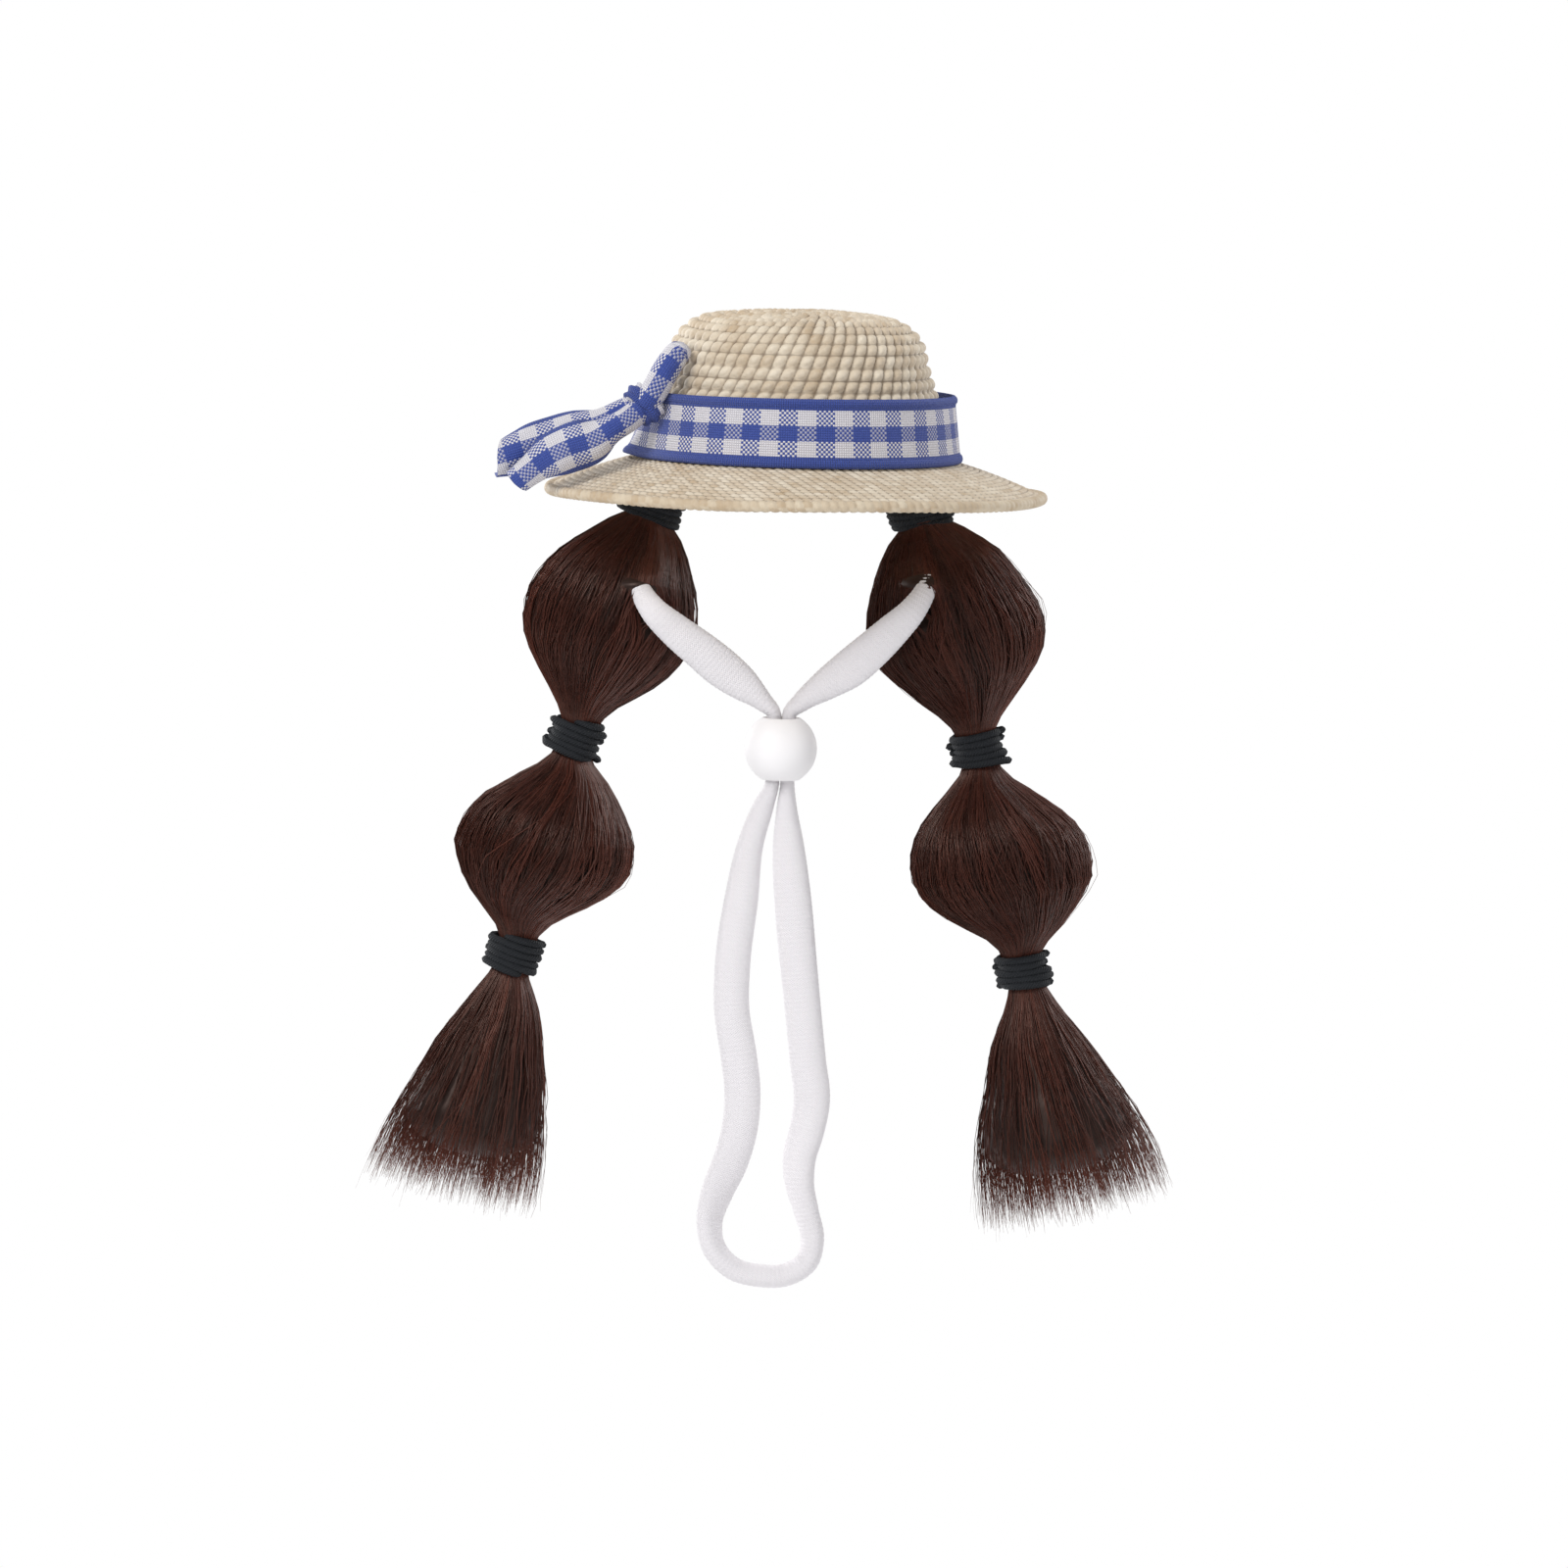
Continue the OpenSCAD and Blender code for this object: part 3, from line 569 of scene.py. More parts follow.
# %% Curled ribbon
def curled_ribbon(name, node, stations, cut=0.0, notch=0.0, start_u=0.0, step=0.5):
    """A ribbon along stations of x, y, z, curl, turn. curl is half the angle, in radians, that its
    width turns through.

    Across the width w the strip is an arc of radius R = 8 / curl:
    wide * R*sin(w/R) + thick * R*(1 - cos(w/R)). cut slants its end, and notch pulls the middle
    of its end back."""
    rows = follow(stations, step)
    line, curl = rows[:, :3], np.maximum(rows[:, 3], 0.05)
    along, wide, thick = path_ways(line, rows[:, 4])
    run = np.linspace(0, path_length(line), len(line))
    w = np.linspace(-RIBBON_W / 2, RIBBON_W / 2, 33)
    radius = (RIBBON_W / 2 / curl)[:, None]
    bend = w / radius
    near_end = (np.clip(run / run[-1] - 0.6, 0, 1) / 0.4)[:, None] ** 1.5
    end = near_end * (cut * w / 8 - notch * (1 - np.abs(w) / 8))
    sag = radius * (1 - np.cos(bend)) - radius * (1 - np.sin(curl) / curl)[:, None]
    flutter = 0.25 * np.sin(run[:, None] * 0.55 + w * 0.5) * (run / run[-1])[:, None]
    middle = (
        line[:, None, :]
        + wide[:, None, :] * (radius * np.sin(bend))[..., None]
        + thick[:, None, :] * (sag + flutter)[..., None]
        + along[:, None, :] * end[..., None]
    )
    up = thick[:, None, :] * np.cos(bend)[..., None] - wide[:, None, :] * np.sin(bend)[..., None]
    half = (ribbon_thickness(w) / 2)[None, :, None]
    points = np.concatenate([middle + up * half, (middle - up * half)[:, ::-1]], 1)
    n, cols = points.shape[:2]
    v = np.concatenate([w, w[::-1]])[None, :] + np.zeros((n, 1))
    u = start_u + np.concatenate([run[:, None] + end, (run[:, None] + end)[:, ::-1]], 1)
    faces = grid_faces(n, cols)
    corner = np.stack([u.ravel()[faces].ravel(), v.ravel()[faces].ravel()], -1)
    k = np.arange(len(w) - 1)
    back = cols - 1 - k
    strip_cap = np.concatenate([np.stack([k, k + 1, back], -1), np.stack([k + 1, back - 1, back], -1)])
    caps = np.concatenate([strip_cap[:, ::-1], strip_cap + (n - 1) * cols])
    strip = make_piece(name, points.reshape(-1, 3), faces, "hat", node, "gingham", flat=corner, caps=caps)
    return strip, run[-1]


# %% Ribbon ends and loop
tail_front, front_len = curled_ribbon(
    "gingham_tail_front", "ribbon_tail_front",
    [[-37.6, -21.0, 11.6, 2.9, 170], [-40.4, -22.4, 9.4, 2.9, 172], [-43.4, -23.4, 7.6, 2.75, 174],
     [-48.0, -24.0, 4.8, 1.7, 176], [-54.2, -24.2, 2.5, 1.5, 174], [-58.6, -24.0, 0.2, 1.75, 176],
     [-62.4, -23.6, -2.7, 2.4, 178], [-65.8, -23.2, -5.5, 2.75, 180]],
    cut=1.2, notch=-0.6, start_u=3.0,
)
tail_back, back_len = curled_ribbon(
    "gingham_tail_back", "ribbon_tail_back",
    [[-37.8, -18.8, 13.0, 2.9, 176], [-41.6, -19.0, 11.0, 2.8, 176], [-46.0, -19.2, 8.6, 2.5, 176],
     [-52.0, -19.2, 6.3, 1.75, 176], [-58.0, -19.0, 4.1, 1.55, 174], [-64.0, -18.8, 1.9, 1.55, 172],
     [-70.2, -18.6, -0.2, 2.1, 172]],
    cut=-2.6, notch=-0.4, start_u=6.0,
)
loop, loop_len = curled_ribbon(
    "gingham_loop", "ribbon_loop",
    [[-36.0, -20.6, 13.2, 2.8, 180], [-34.3, -21.8, 16.0, 2.75, 180], [-33.0, -22.0, 18.4, 2.72, 178],
     [-31.4, -21.6, 21.4, 2.72, 176], [-29.8, -20.6, 24.0, 2.8, 174], [-28.8, -19.4, 25.2, 2.9, 172],
     [-28.3, -18.4, 24.6, 2.9, 170]],
    start_u=1.0, step=0.4,
)
for strip, long in ((tail_front, front_len), (tail_back, back_len), (loop, loop_len)):
    print(strip.name, round(long), "mm long")

# %% [markdown]
# ## Knot
# In the knot the ribbon is folded along its length and wrapped once round itself. It is a short,
# thick ring about the line that the tails leave along, with folds running round it. The folds are
# a few waves across the width of the ring's section.

# %% Ribbon knot
KNOT_STEPS, KNOT_SIDES, KNOT_W = 96, 44, 15.6
wrap = np.linspace(0, 2 * np.pi, KNOT_STEPS, endpoint=False)[:, None]
section = np.linspace(0.45, 2 * np.pi + 0.45, KNOT_SIDES, endpoint=False)[None, :]
out = 2.95 + 0.4 * np.cos(2 * wrap + 0.7)
tall, wide_k = 3.3 + 0.5 * np.cos(wrap - 0.8), 1.25 + 0.12 * np.cos(3 * section * 2 + 2 * wrap)
pull = 0.26 * np.cos(7 * section + 0.8 * np.sin(wrap))
ring_out = out + (wide_k + pull) * np.cos(section)
ring_up = (tall + pull) * np.sin(section) + 0.9 * np.sin(wrap)
tail_way = unit(np.array([-0.78, -0.1, -0.62]))
side_way = unit(np.cross(tail_way, [0.0, 1.0, 0.0]))
depth_way = np.cross(side_way, tail_way)
knot_middle = np.array([-36.5, -20.2, 13.3])
points = (
    knot_middle
    + side_way * (ring_out * np.cos(wrap) * 1.12)[..., None]
    + depth_way * (ring_out * np.sin(wrap) * 0.82)[..., None]
    + tail_way * (ring_up * 0.86)[..., None]
)
faces = grid_faces(KNOT_STEPS, KNOT_SIDES, round_rows=True)
flat_map = grid_map(KNOT_STEPS, KNOT_SIDES, KNOT_W, 3 * CHECK, round_rows=True)
make_piece(
    "gingham_knot", points.reshape(-1, 3), faces, "hat", "ribbon_knot", "gingham",
    flat=np.stack([flat_map[:, 1], flat_map[:, 0] - KNOT_W / 2], -1),
)

# %% [markdown]
# ## Bubble braids
# A bubble braid is one bundle of loose hair, gathered by an elastic every few centimetres and pulled
# out to a bubble in between. No two bubbles have the same outline, so each section has a small table
# of how far it reaches to either side of its own line. Two things fill that outline. A dark closed
# body stops one from looking right through the hair, and over it lie about 1,500 thin strands. Each
# strand is a tube of three sides, which is enough for something so thin.

# %% Braid sections
ROOT_L, ROOT_R = np.array([-34.4, 0.0, -12.0]), np.array([29.8, 0.0, -12.0])


def down(lean):
    """Unit direction of a section that leans outwards by lean degrees: (sin, 0, -cos)."""
    return np.array([math.sin(math.radians(lean)), 0.0, -math.cos(math.radians(lean))])


LEFT_UPPER_AT = ROOT_L + 58.2 * down(-16.6)
LEFT_LOWER_AT = LEFT_UPPER_AT + 54 * down(-14.5)
RIGHT_UPPER_AT = ROOT_R + 58.2 * down(15.2)
RIGHT_LOWER_AT = RIGHT_UPPER_AT + 54 * down(13)

# name: (top, lean, body above, own body, table of depth below the elastic, reach to -X, reach to +X)
SECTIONS = {
    "left_upper_bubble": (ROOT_L, -16.6, "left_braid_root", "left_braid_upper", [
        [-1.5, 3.6, 3.6], [2.5, 4.6, 5.2], [5, 7.6, 8.2], [8, 10.1, 10.9], [12, 13.8, 13.4],
        [16, 16.7, 15.7], [20, 18.9, 17.5], [24, 20.2, 18.6], [28, 20.9, 19.0], [32, 20.6, 18.4],
        [36, 19.8, 16.8], [40, 17.7, 14.4], [44, 14.2, 11.3], [48, 10.2, 7.6], [52, 6.4, 5.0],
        [55, 4.2, 4.0], [59.5, 3.6, 3.6]]),
    "left_lower_bubble": (LEFT_UPPER_AT, -14.5, "left_braid_upper", "left_braid_lower", [
        [-1.5, 3.6, 3.6], [2.5, 3.8, 3.9], [5, 4.3, 5.6], [8, 6.2, 9.5], [12, 10.2, 13.6],
        [16, 13.9, 16.9], [20, 17.4, 19.5], [24, 19.1, 20.9], [28, 20.2, 21.1], [32, 20.3, 19.8],
        [36, 18.4, 16.6], [40, 15.8, 12.2], [44, 11.5, 7.6], [48, 6.4, 4.8], [50.5, 4.3, 4.1],
        [55.5, 3.6, 3.6]]),
    "left_tail": (LEFT_LOWER_AT, -12, "left_braid_lower", "left_braid_tail", [
        [-1.5, 3.6, 3.6], [2.5, 3.8, 3.9], [5, 4.4, 4.9], [8, 5.9, 6.8], [12, 8.0, 9.2],
        [16, 9.9, 10.9], [20, 11.9, 12.2], [24, 13.6, 13.5], [28, 15.0, 15.0], [32, 16.3, 16.0],
        [36, 17.7, 16.9], [40, 19.1, 18.0], [44, 20.4, 18.8], [48, 21.4, 19.5], [54, 22.6, 20.2],
        [62, 23.8, 20.8]]),
    "right_upper_bubble": (ROOT_R, 15.2, "right_braid_root", "right_braid_upper", [
        [-1.5, 3.6, 3.6], [2.5, 5.2, 5.0], [5, 8.4, 8.2], [8, 11.2, 11.4], [12, 13.8, 15.5],
        [16, 16.2, 17.9], [20, 17.9, 19.8], [24, 19.0, 21.2], [28, 19.6, 22.4], [32, 19.0, 22.6],
        [36, 17.0, 21.7], [40, 14.1, 19.5], [44, 11.1, 15.6], [48, 7.6, 11.3], [52, 5.0, 7.0],
        [55, 4.1, 4.6], [59.5, 3.6, 3.6]]),
    "right_lower_bubble": (RIGHT_UPPER_AT, 13, "right_braid_upper", "right_braid_lower", [
        [-1.5, 3.6, 3.6], [2.5, 3.8, 3.8], [5, 5.2, 4.4], [8, 8.4, 6.2], [12, 13.2, 10.3],
        [16, 17.4, 14.3], [20, 19.9, 18.0], [24, 21.2, 20.3], [28, 21.7, 21.2], [32, 20.6, 21.1],
        [36, 17.9, 20.2], [40, 13.7, 16.8], [44, 8.4, 13.1], [48, 4.9, 7.8], [50.5, 4.2, 5.0],
        [55.5, 3.6, 3.6]]),
    "right_tail": (RIGHT_LOWER_AT, 14.5, "right_braid_lower", "right_braid_tail", [
        [-1.5, 3.6, 3.6], [2.5, 3.9, 3.8], [5, 4.8, 4.6], [8, 6.2, 5.7], [12, 8.8, 7.5],
        [16, 11.4, 9.6], [20, 13.3, 11.6], [24, 14.8, 13.5], [28, 16.4, 15.1], [32, 18.4, 17.0],
        [36, 19.9, 18.7], [40, 21.3, 20.2], [44, 22.3, 21.6], [48, 23.1, 22.6], [54, 24.2, 23.8],
        [62, 25.2, 24.8]]),
}


def hair_at(name, depth, angle, share):
    """Points of a section at a depth below its elastic, an angle round it and a share of its reach.

    With the reach a to -X and b to +X, the cross-section is an oval:
    (b - a)/2 + share*(a + b)/2*cos(angle) across, and share*(a + b)/2*sin(angle) to the front
    and back."""
    top, lean, _, _, table = SECTIONS[name]
    t = np.asarray(table)
    reach = smooth(t[:, 0], t[:, 1:], depth)
    half, shift = (reach[..., 0] + reach[..., 1]) / 2, (reach[..., 1] - reach[..., 0]) / 2
    along = down(lean)
    across = np.array([-along[2], 0.0, along[0]])
    return (
        top
        + along * depth[..., None]
        + across * (shift + share * half * np.cos(angle))[..., None]
        + np.array([0.0, 1.0, 0.0]) * (share * half * np.sin(angle) * 0.97)[..., None]
    )


# %% [markdown]
# ## Where the strap passes through the hair
# The strap comes down inside the upper bubble and leaves it at the front. Above that place the hair
# lies over the strap, so its points are pushed out in front of it. At the place itself the hair
# parts to both sides. Both are soft pushes that fade out with distance.

# %% Part the hair round the strap
def part_hair(points, line, leaves_at):
    """Hair pushed round a strap. Above leaves_at a point goes in front of the strap: y is at most
    strap_y - 2.8 + 0.1*(x - strap_x)^2. Near leaves_at it moves aside, by 2.4 mm and less
    further off."""
    order = np.argsort(line[:, 2])
    z = points[..., 2]
    strap_x = np.interp(z, line[order, 2], line[order, 0])
    strap_y = np.interp(z, line[order, 2], line[order, 1])
    side = points[..., 0] - strap_x
    cover = strap_y - 2.8 + 0.1 * side**2
    above = np.clip((z - leaves_at[2]) / 5, 0, 1)
    above = above**2 * (3 - 2 * above) * np.exp(-((side / 9) ** 4))
    front = np.clip(-points[..., 1] / 4, 0, 1)
    moved = points.copy()
    moved[..., 1] += np.minimum(cover - points[..., 1], 0) * above * front
    off = points[..., 0] - leaves_at[0] - 0.6
    near = np.exp(-((off / 4) ** 2) - ((z - leaves_at[2] + 2.5) / 3.6) ** 2) * front
    moved[..., 0] += 2.4 * near * np.where(off < 0, -1, 1)
    return moved


LEAVES = {
    "left_upper_bubble": (left_line, np.array([-34.6, -20, -34.0])),
    "right_upper_bubble": (right_line, np.array([29.8, -20, -32.2])),
}


def part_if_needed(name, points):
    """The points, parted if the strap runs through this section."""
    return part_hair(points, *LEAVES[name]) if name in LEAVES else points


# %% [markdown]
# ## A dark body in each section
# Real hair is so dense that no light comes through a bubble. Strands alone would need tens of
# thousands to do that. A closed dark body a little inside the outline does it with a few thousand
# faces, and its grooves look like locks of hair where the strands leave a gap. Its colour is the
# darkest hair colour, as painted shade deep inside the bundle.

# %% Dark bodies under the hair
def hair_name(name):
    """What the hair of a section is called."""
    return name.replace("bubble", "hair").replace("tail", "tail_hair")


def hair_body(name):
    """A closed body a little inside the strands, with shallow grooves along it: its share of the
    reach is 0.9 with two small sine waves round it, and in a tail it closes to a round end."""
    table = SECTIONS[name][4]
    tail = name.endswith("tail")
    last = 50.0 if tail else table[-1][0]
    steps, sides = 70, 84
    depth = np.linspace(-1.5, last, steps)[:, None] + np.zeros((1, sides))
    angle = np.linspace(0, 2 * np.pi, sides, endpoint=False)[None, :] + 0.25 * np.sin(depth / 9)
    share = 0.9 + 0.022 * np.sin(17 * angle + 2 * np.sin(depth / 7)) + 0.018 * np.sin(29 * angle - depth / 11)
    if tail:
        end = np.clip((depth - 38) / 12.0, 0, 1)
        share = share * np.sqrt(np.clip(1 - end**2, 0.0004, 1)) * 0.96
    points = part_if_needed(name, hair_at(name, depth, angle, share))
    # Tint 0 is the darkest hair colour: painted shade deep inside the bundle.
    return make_piece(
        hair_name(name) + "_body", points.reshape(-1, 3), grid_faces(steps, sides), None, name, "hair",
        tint=np.zeros(steps * sides), caps=capped(steps, sides),
    )


# %% [markdown]
# ## Loose strands
# Blender has its own hair system, but an exported model carries only meshes. Each strand here is a
# thin tube of three sides. Strands start in 70 locks. Each drifts round the braid with its lock, and
# by about as much again on its own. A few strays arch off the outline for part of their length.

# %% Strands
def strand_tubes(centre, radius):
    """Tubes of three sides round many lines at once. centre is strands x steps x 3, and radius
    strands x steps.

    Each ring is centre + radius * (side*cos(a) + out*sin(a)), at a = 0, 120 and 240 degrees."""
    count, steps = centre.shape[:2]
    along = unit(np.gradient(centre, axis=1))
    side = unit(np.cross(along, [0.0, 1.0, 0.0]))
    out = np.cross(along, side)
    a = np.radians([0, 120, 240])[:, None]
    spoke = side[:, :, None] * np.cos(a) + out[:, :, None] * np.sin(a)
    points = centre[:, :, None] + radius[:, :, None, None] * spoke
    one = grid_faces(steps, 3)
    faces = (one[None] + (np.arange(count) * steps * 3)[:, None, None]).reshape(-1, 4)
    ends = np.array([[0, 2, 1], [steps * 3 - 3, steps * 3 - 2, steps * 3 - 1]])
    caps = (ends[None] + (np.arange(count) * steps * 3)[:, None, None]).reshape(-1, 3)
    return points.reshape(-1, 3), faces, caps


def hair_strands(name, seed, count=1500, stray=60, steps=18, locks=70):
    """The loose hair of one section, as one mesh. A few strays are thinner and stand off the rest.

    With tau from 0 to 1 along a strand, its angle is start + drift * (tau - 0.35) + a small wave, and
    its share of the reach is 1 less up to 0.1 in a bubble; in a tail the inner ones fall back."""
    rng = np.random.default_rng(seed)
    table = SECTIONS[name][4]
    tail = name.endswith("tail")
    total = count + stray
    clump = rng.integers(0, locks, total)
    start = (clump + rng.normal(0, 0.42, total)) * 2 * np.pi / locks
    is_stray = np.arange(total) >= count
    drift = rng.normal(0, 0.16, locks)[clump] + rng.normal(0, 0.16, total)
    drift = drift + np.where(rng.random(total) < 0.07, rng.normal(0, 0.8, total), 0)
    lift = rng.normal(0, 0.022, locks)[clump]
    inside = rng.random(total) ** 2
    tau = np.linspace(0, 1, steps)[None, :]
    if tail:
        last = np.where(is_stray, rng.uniform(50, 64, total), 50 + 11 * rng.beta(3.2, 2.0, total))
        rest = 1 - 0.72 * np.sqrt(inside) ** 1.3
        share = 0.96 - (1 - rest)[:, None] * np.clip(tau * 1.4, 0, 1) * 0.95
        share = share + is_stray[:, None] * rng.uniform(0.0, 0.1, total)[:, None] * tau**2
    else:
        last = np.full(total, table[-1][0] - 0.5)
        arch_at, arch_long = rng.uniform(0.2, 0.8, (total, 1)), rng.uniform(0.1, 0.24, (total, 1))
        arch = np.exp(-(((tau - arch_at) / arch_long) ** 2)) * np.sin(np.pi * tau)
        arch = rng.uniform(0.01, 0.1, (total, 1)) * arch
        share = 1 - 0.1 * inside[:, None] + is_stray[:, None] * arch
    loose = np.sin(np.pi * np.minimum(tau, 0.5 if tail else 1)) ** 0.5
    share = share + (lift[:, None] + 0.008 * rng.normal(size=(total, steps))) * loose
    depth = -1.2 + (last[:, None] + 1.2) * tau
    wave = rng.normal(0, 0.05, total)[:, None]
    wave = wave * np.sin(np.pi * tau * rng.uniform(1.5, 4, total)[:, None] + start[:, None] * 3)
    angle = start[:, None] + drift[:, None] * (tau - 0.35) + wave
    centre = part_if_needed(name, hair_at(name, depth, angle, share))
    thin = np.where(is_stray, 0.065, rng.uniform(0.1, 0.15, total))[:, None]
    radius = thin * (1 - 0.8 * tau**3 if tail else 0.7 + 0.3 * np.sin(np.pi * tau))
    points, faces, caps = strand_tubes(centre, radius)
    # Each lock and strand gets its own red tone; strays, at the outline, get 0.35 more as painted light
    # coming through them.
    red_and_glow = rng.beta(1.6, 3.2, locks)[clump] * 0.55 + rng.beta(1.4, 4, total) * 0.5 + is_stray * 0.35
    # Painted light: towards the end of a tail strand the tint runs up to red, for light coming through the
    # thin tips.
    tint = red_and_glow[:, None] + (0.55 * np.clip(tau - 0.72, 0, 1) / 0.28 if tail else 0.0 * tau)
    tint = np.repeat(np.clip(tint, 0, 1.2).ravel(), 3)
    return make_piece(hair_name(name), points, faces, None, name, "hair", tint=tint, caps=caps)


for seed, name in enumerate(SECTIONS):
    top, lean, above, own, _ = SECTIONS[name]
    for piece in (hair_body(name), hair_strands(name, seed + 11)):
        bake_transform(piece)

# %% [markdown]
# ## Sewn ends of the hair
# Inside the crown the hair is gathered into a flat-ended bundle and sewn to the wall. It is hidden
# from the outside, so a grooved rod is enough. Its fibres run along it as ridges.

# %% Hair roots
def hair_root(name, foot, head):
    """A grooved rod from foot to head. Its radius is 4.2 + 0.16*sin(14*angle), less at both ends."""
    steps, sides = 26, 84
    t = np.linspace(0, 1, steps)[:, None]
    a = np.linspace(0, 2 * np.pi, sides, endpoint=False)[None, :]
    way = unit(head - foot)
    side = unit(np.cross(way, [0.0, 1.0, 0.0]))
    plain = 2.4 + 1.8 * np.clip(t * 3, 0, 1) - 0.9 * np.clip(t * 8 - 7, 0, 1)
    radius = (plain + 0.16 * np.sin(14 * a + 1.5 * t))[..., None]
    spoke = side * np.cos(a)[..., None] + np.cross(way, side) * np.sin(a)[..., None]
    points = foot + (head - foot) * t[..., None] + radius * spoke
    make_piece(
        name + "_bundle", points.reshape(-1, 3), grid_faces(steps, sides), "hat", name, "hair",
        tint=np.full(steps * sides, 0.2), caps=capped(steps, sides),
    )


hair_root("left_hair_root", np.array([-33.6, 0.0, -8.6]), np.array([-28.43, 0.0, 10.0]))
hair_root("right_hair_root", np.array([29.6, 0.0, -8.6]), np.array([28.43, 0.0, 10.0]))

# %% [markdown]
# ## Hair elastics
# Each elastic is one covered cord, wound round the hair four or five times. The turns are never
# quite level, and here and there one slips out to a small loop. The cord is a tube along a helix,
# whose radius grows for a moment at random half turns. Its two ends dive into the hair.

# %% Wound elastics
def wound_elastic(name, middle, lean, body, turns, wind_r, seed, slips):
    """A cord of radius 1 along a helix. slips is how far, in millimetres, a turn may slip out.

    At angle a its line is middle + r * (across*cos(a) + back*sin(a)) - along * z. There r is wind_r
    and what the turn slips, less a tuck of 2.2 mm at both ends, and z falls evenly with a."""
    rng = np.random.default_rng(seed)
    n, sides = turns * 84, 12
    t = np.linspace(0, 1, n)
    a = 2 * np.pi * (turns + 0.35) * t + rng.uniform(0, 2 * np.pi)
    half = np.arange(int((turns + 1) * 2) + 2)
    slip = rng.random(len(half)) ** 2.2 * slips
    which = np.floor(a / np.pi).astype(int)
    out = slip[(which - which[0]) % len(slip)] * np.abs(np.cos(a)) ** 7
    tuck = 2.2 * (np.clip(1 - t * n / 16, 0, 1) ** 2 + np.clip(1 - (1 - t) * n / 16, 0, 1) ** 2)
    r = wind_r + out - tuck + 0.15 * np.sin(2.3 * a)
    tilt = rng.normal(0, 0.22, len(half))[(which - which[0]) % len(half)]
    z = (0.5 - t) * 1.96 * (turns - 1) * 1.08 + 0.28 * np.sin(a * 0.93 + 1) + out * tilt * np.sign(np.cos(a))
    along = down(lean)
    across = np.array([-along[2], 0.0, along[0]])
    spoke = across * np.cos(a)[:, None] + np.array([0, 1.0, 0]) * np.sin(a)[:, None]
    line = middle - along * z[:, None] + spoke * r[:, None]
    way = unit(np.gradient(line, axis=0))
    outwards = unit(line - middle - along * ((line - middle) @ along)[:, None])
    up = np.cross(way, outwards)
    b = np.linspace(0, 2 * np.pi, sides, endpoint=False)[None, :]
    thick = 0.95 + 0.05 * np.sin(b * 6 + np.arange(n)[:, None] * 0.9)
    spoke = outwards[:, None] * np.cos(b)[..., None] + up[:, None] * np.sin(b)[..., None]
    points = line[:, None] + spoke * thick[..., None]
    make_piece(
        name + "_cord", points.reshape(-1, 3), grid_faces(n, sides), body, name, "hair_elastic",
        flat=grid_map(n, sides, 6.0, path_length(line)), caps=capped(n, sides),
    )


ELASTICS = (
    ("left_root_tie", ROOT_L, -16.6, "left_braid_root", 4, 6.6, 1.2),
    ("right_root_tie", ROOT_R, 15.2, "right_braid_root", 4, 6.4, 1.0),
    ("left_upper_tie", LEFT_UPPER_AT, -16.6, "left_braid_upper", 5, 5.0, 1.9),
    ("right_upper_tie", RIGHT_UPPER_AT, 15.2, "right_braid_upper", 5, 5.0, 1.6),
    ("left_lower_tie", LEFT_LOWER_AT, -14.5, "left_braid_lower", 5, 4.9, 1.9),
    ("right_lower_tie", RIGHT_LOWER_AT, 13, "right_braid_lower", 5, 4.9, 1.7),
)
for seed, (name, middle, lean, body, turns, wind_r, slips) in enumerate(ELASTICS):
    wound_elastic(name, middle, lean, body, turns, wind_r, seed + 41, slips)

# %% [markdown]
# ## Materials from small networks
# Every colour and every fine surface below is worked out by nodes, so no image is needed. Writing
# nodes by hand takes many lines, so three short helpers do it. `node` adds one and joins its
# inputs, `group` makes a shared network with named inputs and outputs, and `material` starts a
# surface with a Principled shader whose plain numbers are set on its own sockets.

# %% Node helpers
def fill(tree, socket, value):
    """Joins an output to a socket, or writes a plain number or colour on it."""
    if isinstance(value, bpy.types.NodeSocket):
        tree.links.new(value, socket)
    else:
        socket.default_value = value


def node(tree, kind, operation=None, **inputs):
    """A node of that kind. An input is a number, a colour, or another node's output."""
    made = tree.nodes.new(kind)
    if operation:
        made.operation = operation
    for name, value in inputs.items():
        fill(tree, made.inputs[name.replace("_", " ")], value)
    return made


def maths(tree, operation, a, b=0.0, clamp=False):
    """One sum, product, comparison or other step of arithmetic; returns its output."""
    made = node(tree, "ShaderNodeMath", operation)
    fill(tree, made.inputs[0], a)
    fill(tree, made.inputs[1], b)
    made.use_clamp = clamp
    return made.outputs[0]


def mixed(tree, share, a, b):
    """Colour a where share is 0 and colour b where it is 1."""
    made = tree.nodes.new("ShaderNodeMix")
    made.data_type = "RGBA"
    for socket, value in ((made.inputs["Factor"], share), (made.inputs[6], a), (made.inputs[7], b)):
        fill(tree, socket, value)
    return made.outputs[2]


def group(name, inputs, outputs):
    """A new node group with its input and output sockets, as (tree, input node, output node)."""
    tree = bpy.data.node_groups.new(name, "ShaderNodeTree")
    for label, kind, value in inputs:
        socket = tree.interface.new_socket(label, in_out="INPUT", socket_type=kind)
        socket.default_value = value
    for label, kind in outputs:
        tree.interface.new_socket(label, in_out="OUTPUT", socket_type=kind)
    return tree, tree.nodes.new("NodeGroupInput"), tree.nodes.new("NodeGroupOutput")


def use_group(tree, shared, **inputs):
    """A node in tree that runs a shared group."""
    made = tree.nodes.new("ShaderNodeGroup")
    made.node_tree = shared
    for name, value in inputs.items():
        fill(tree, made.inputs[name.replace("_", " ")], value)
    return made


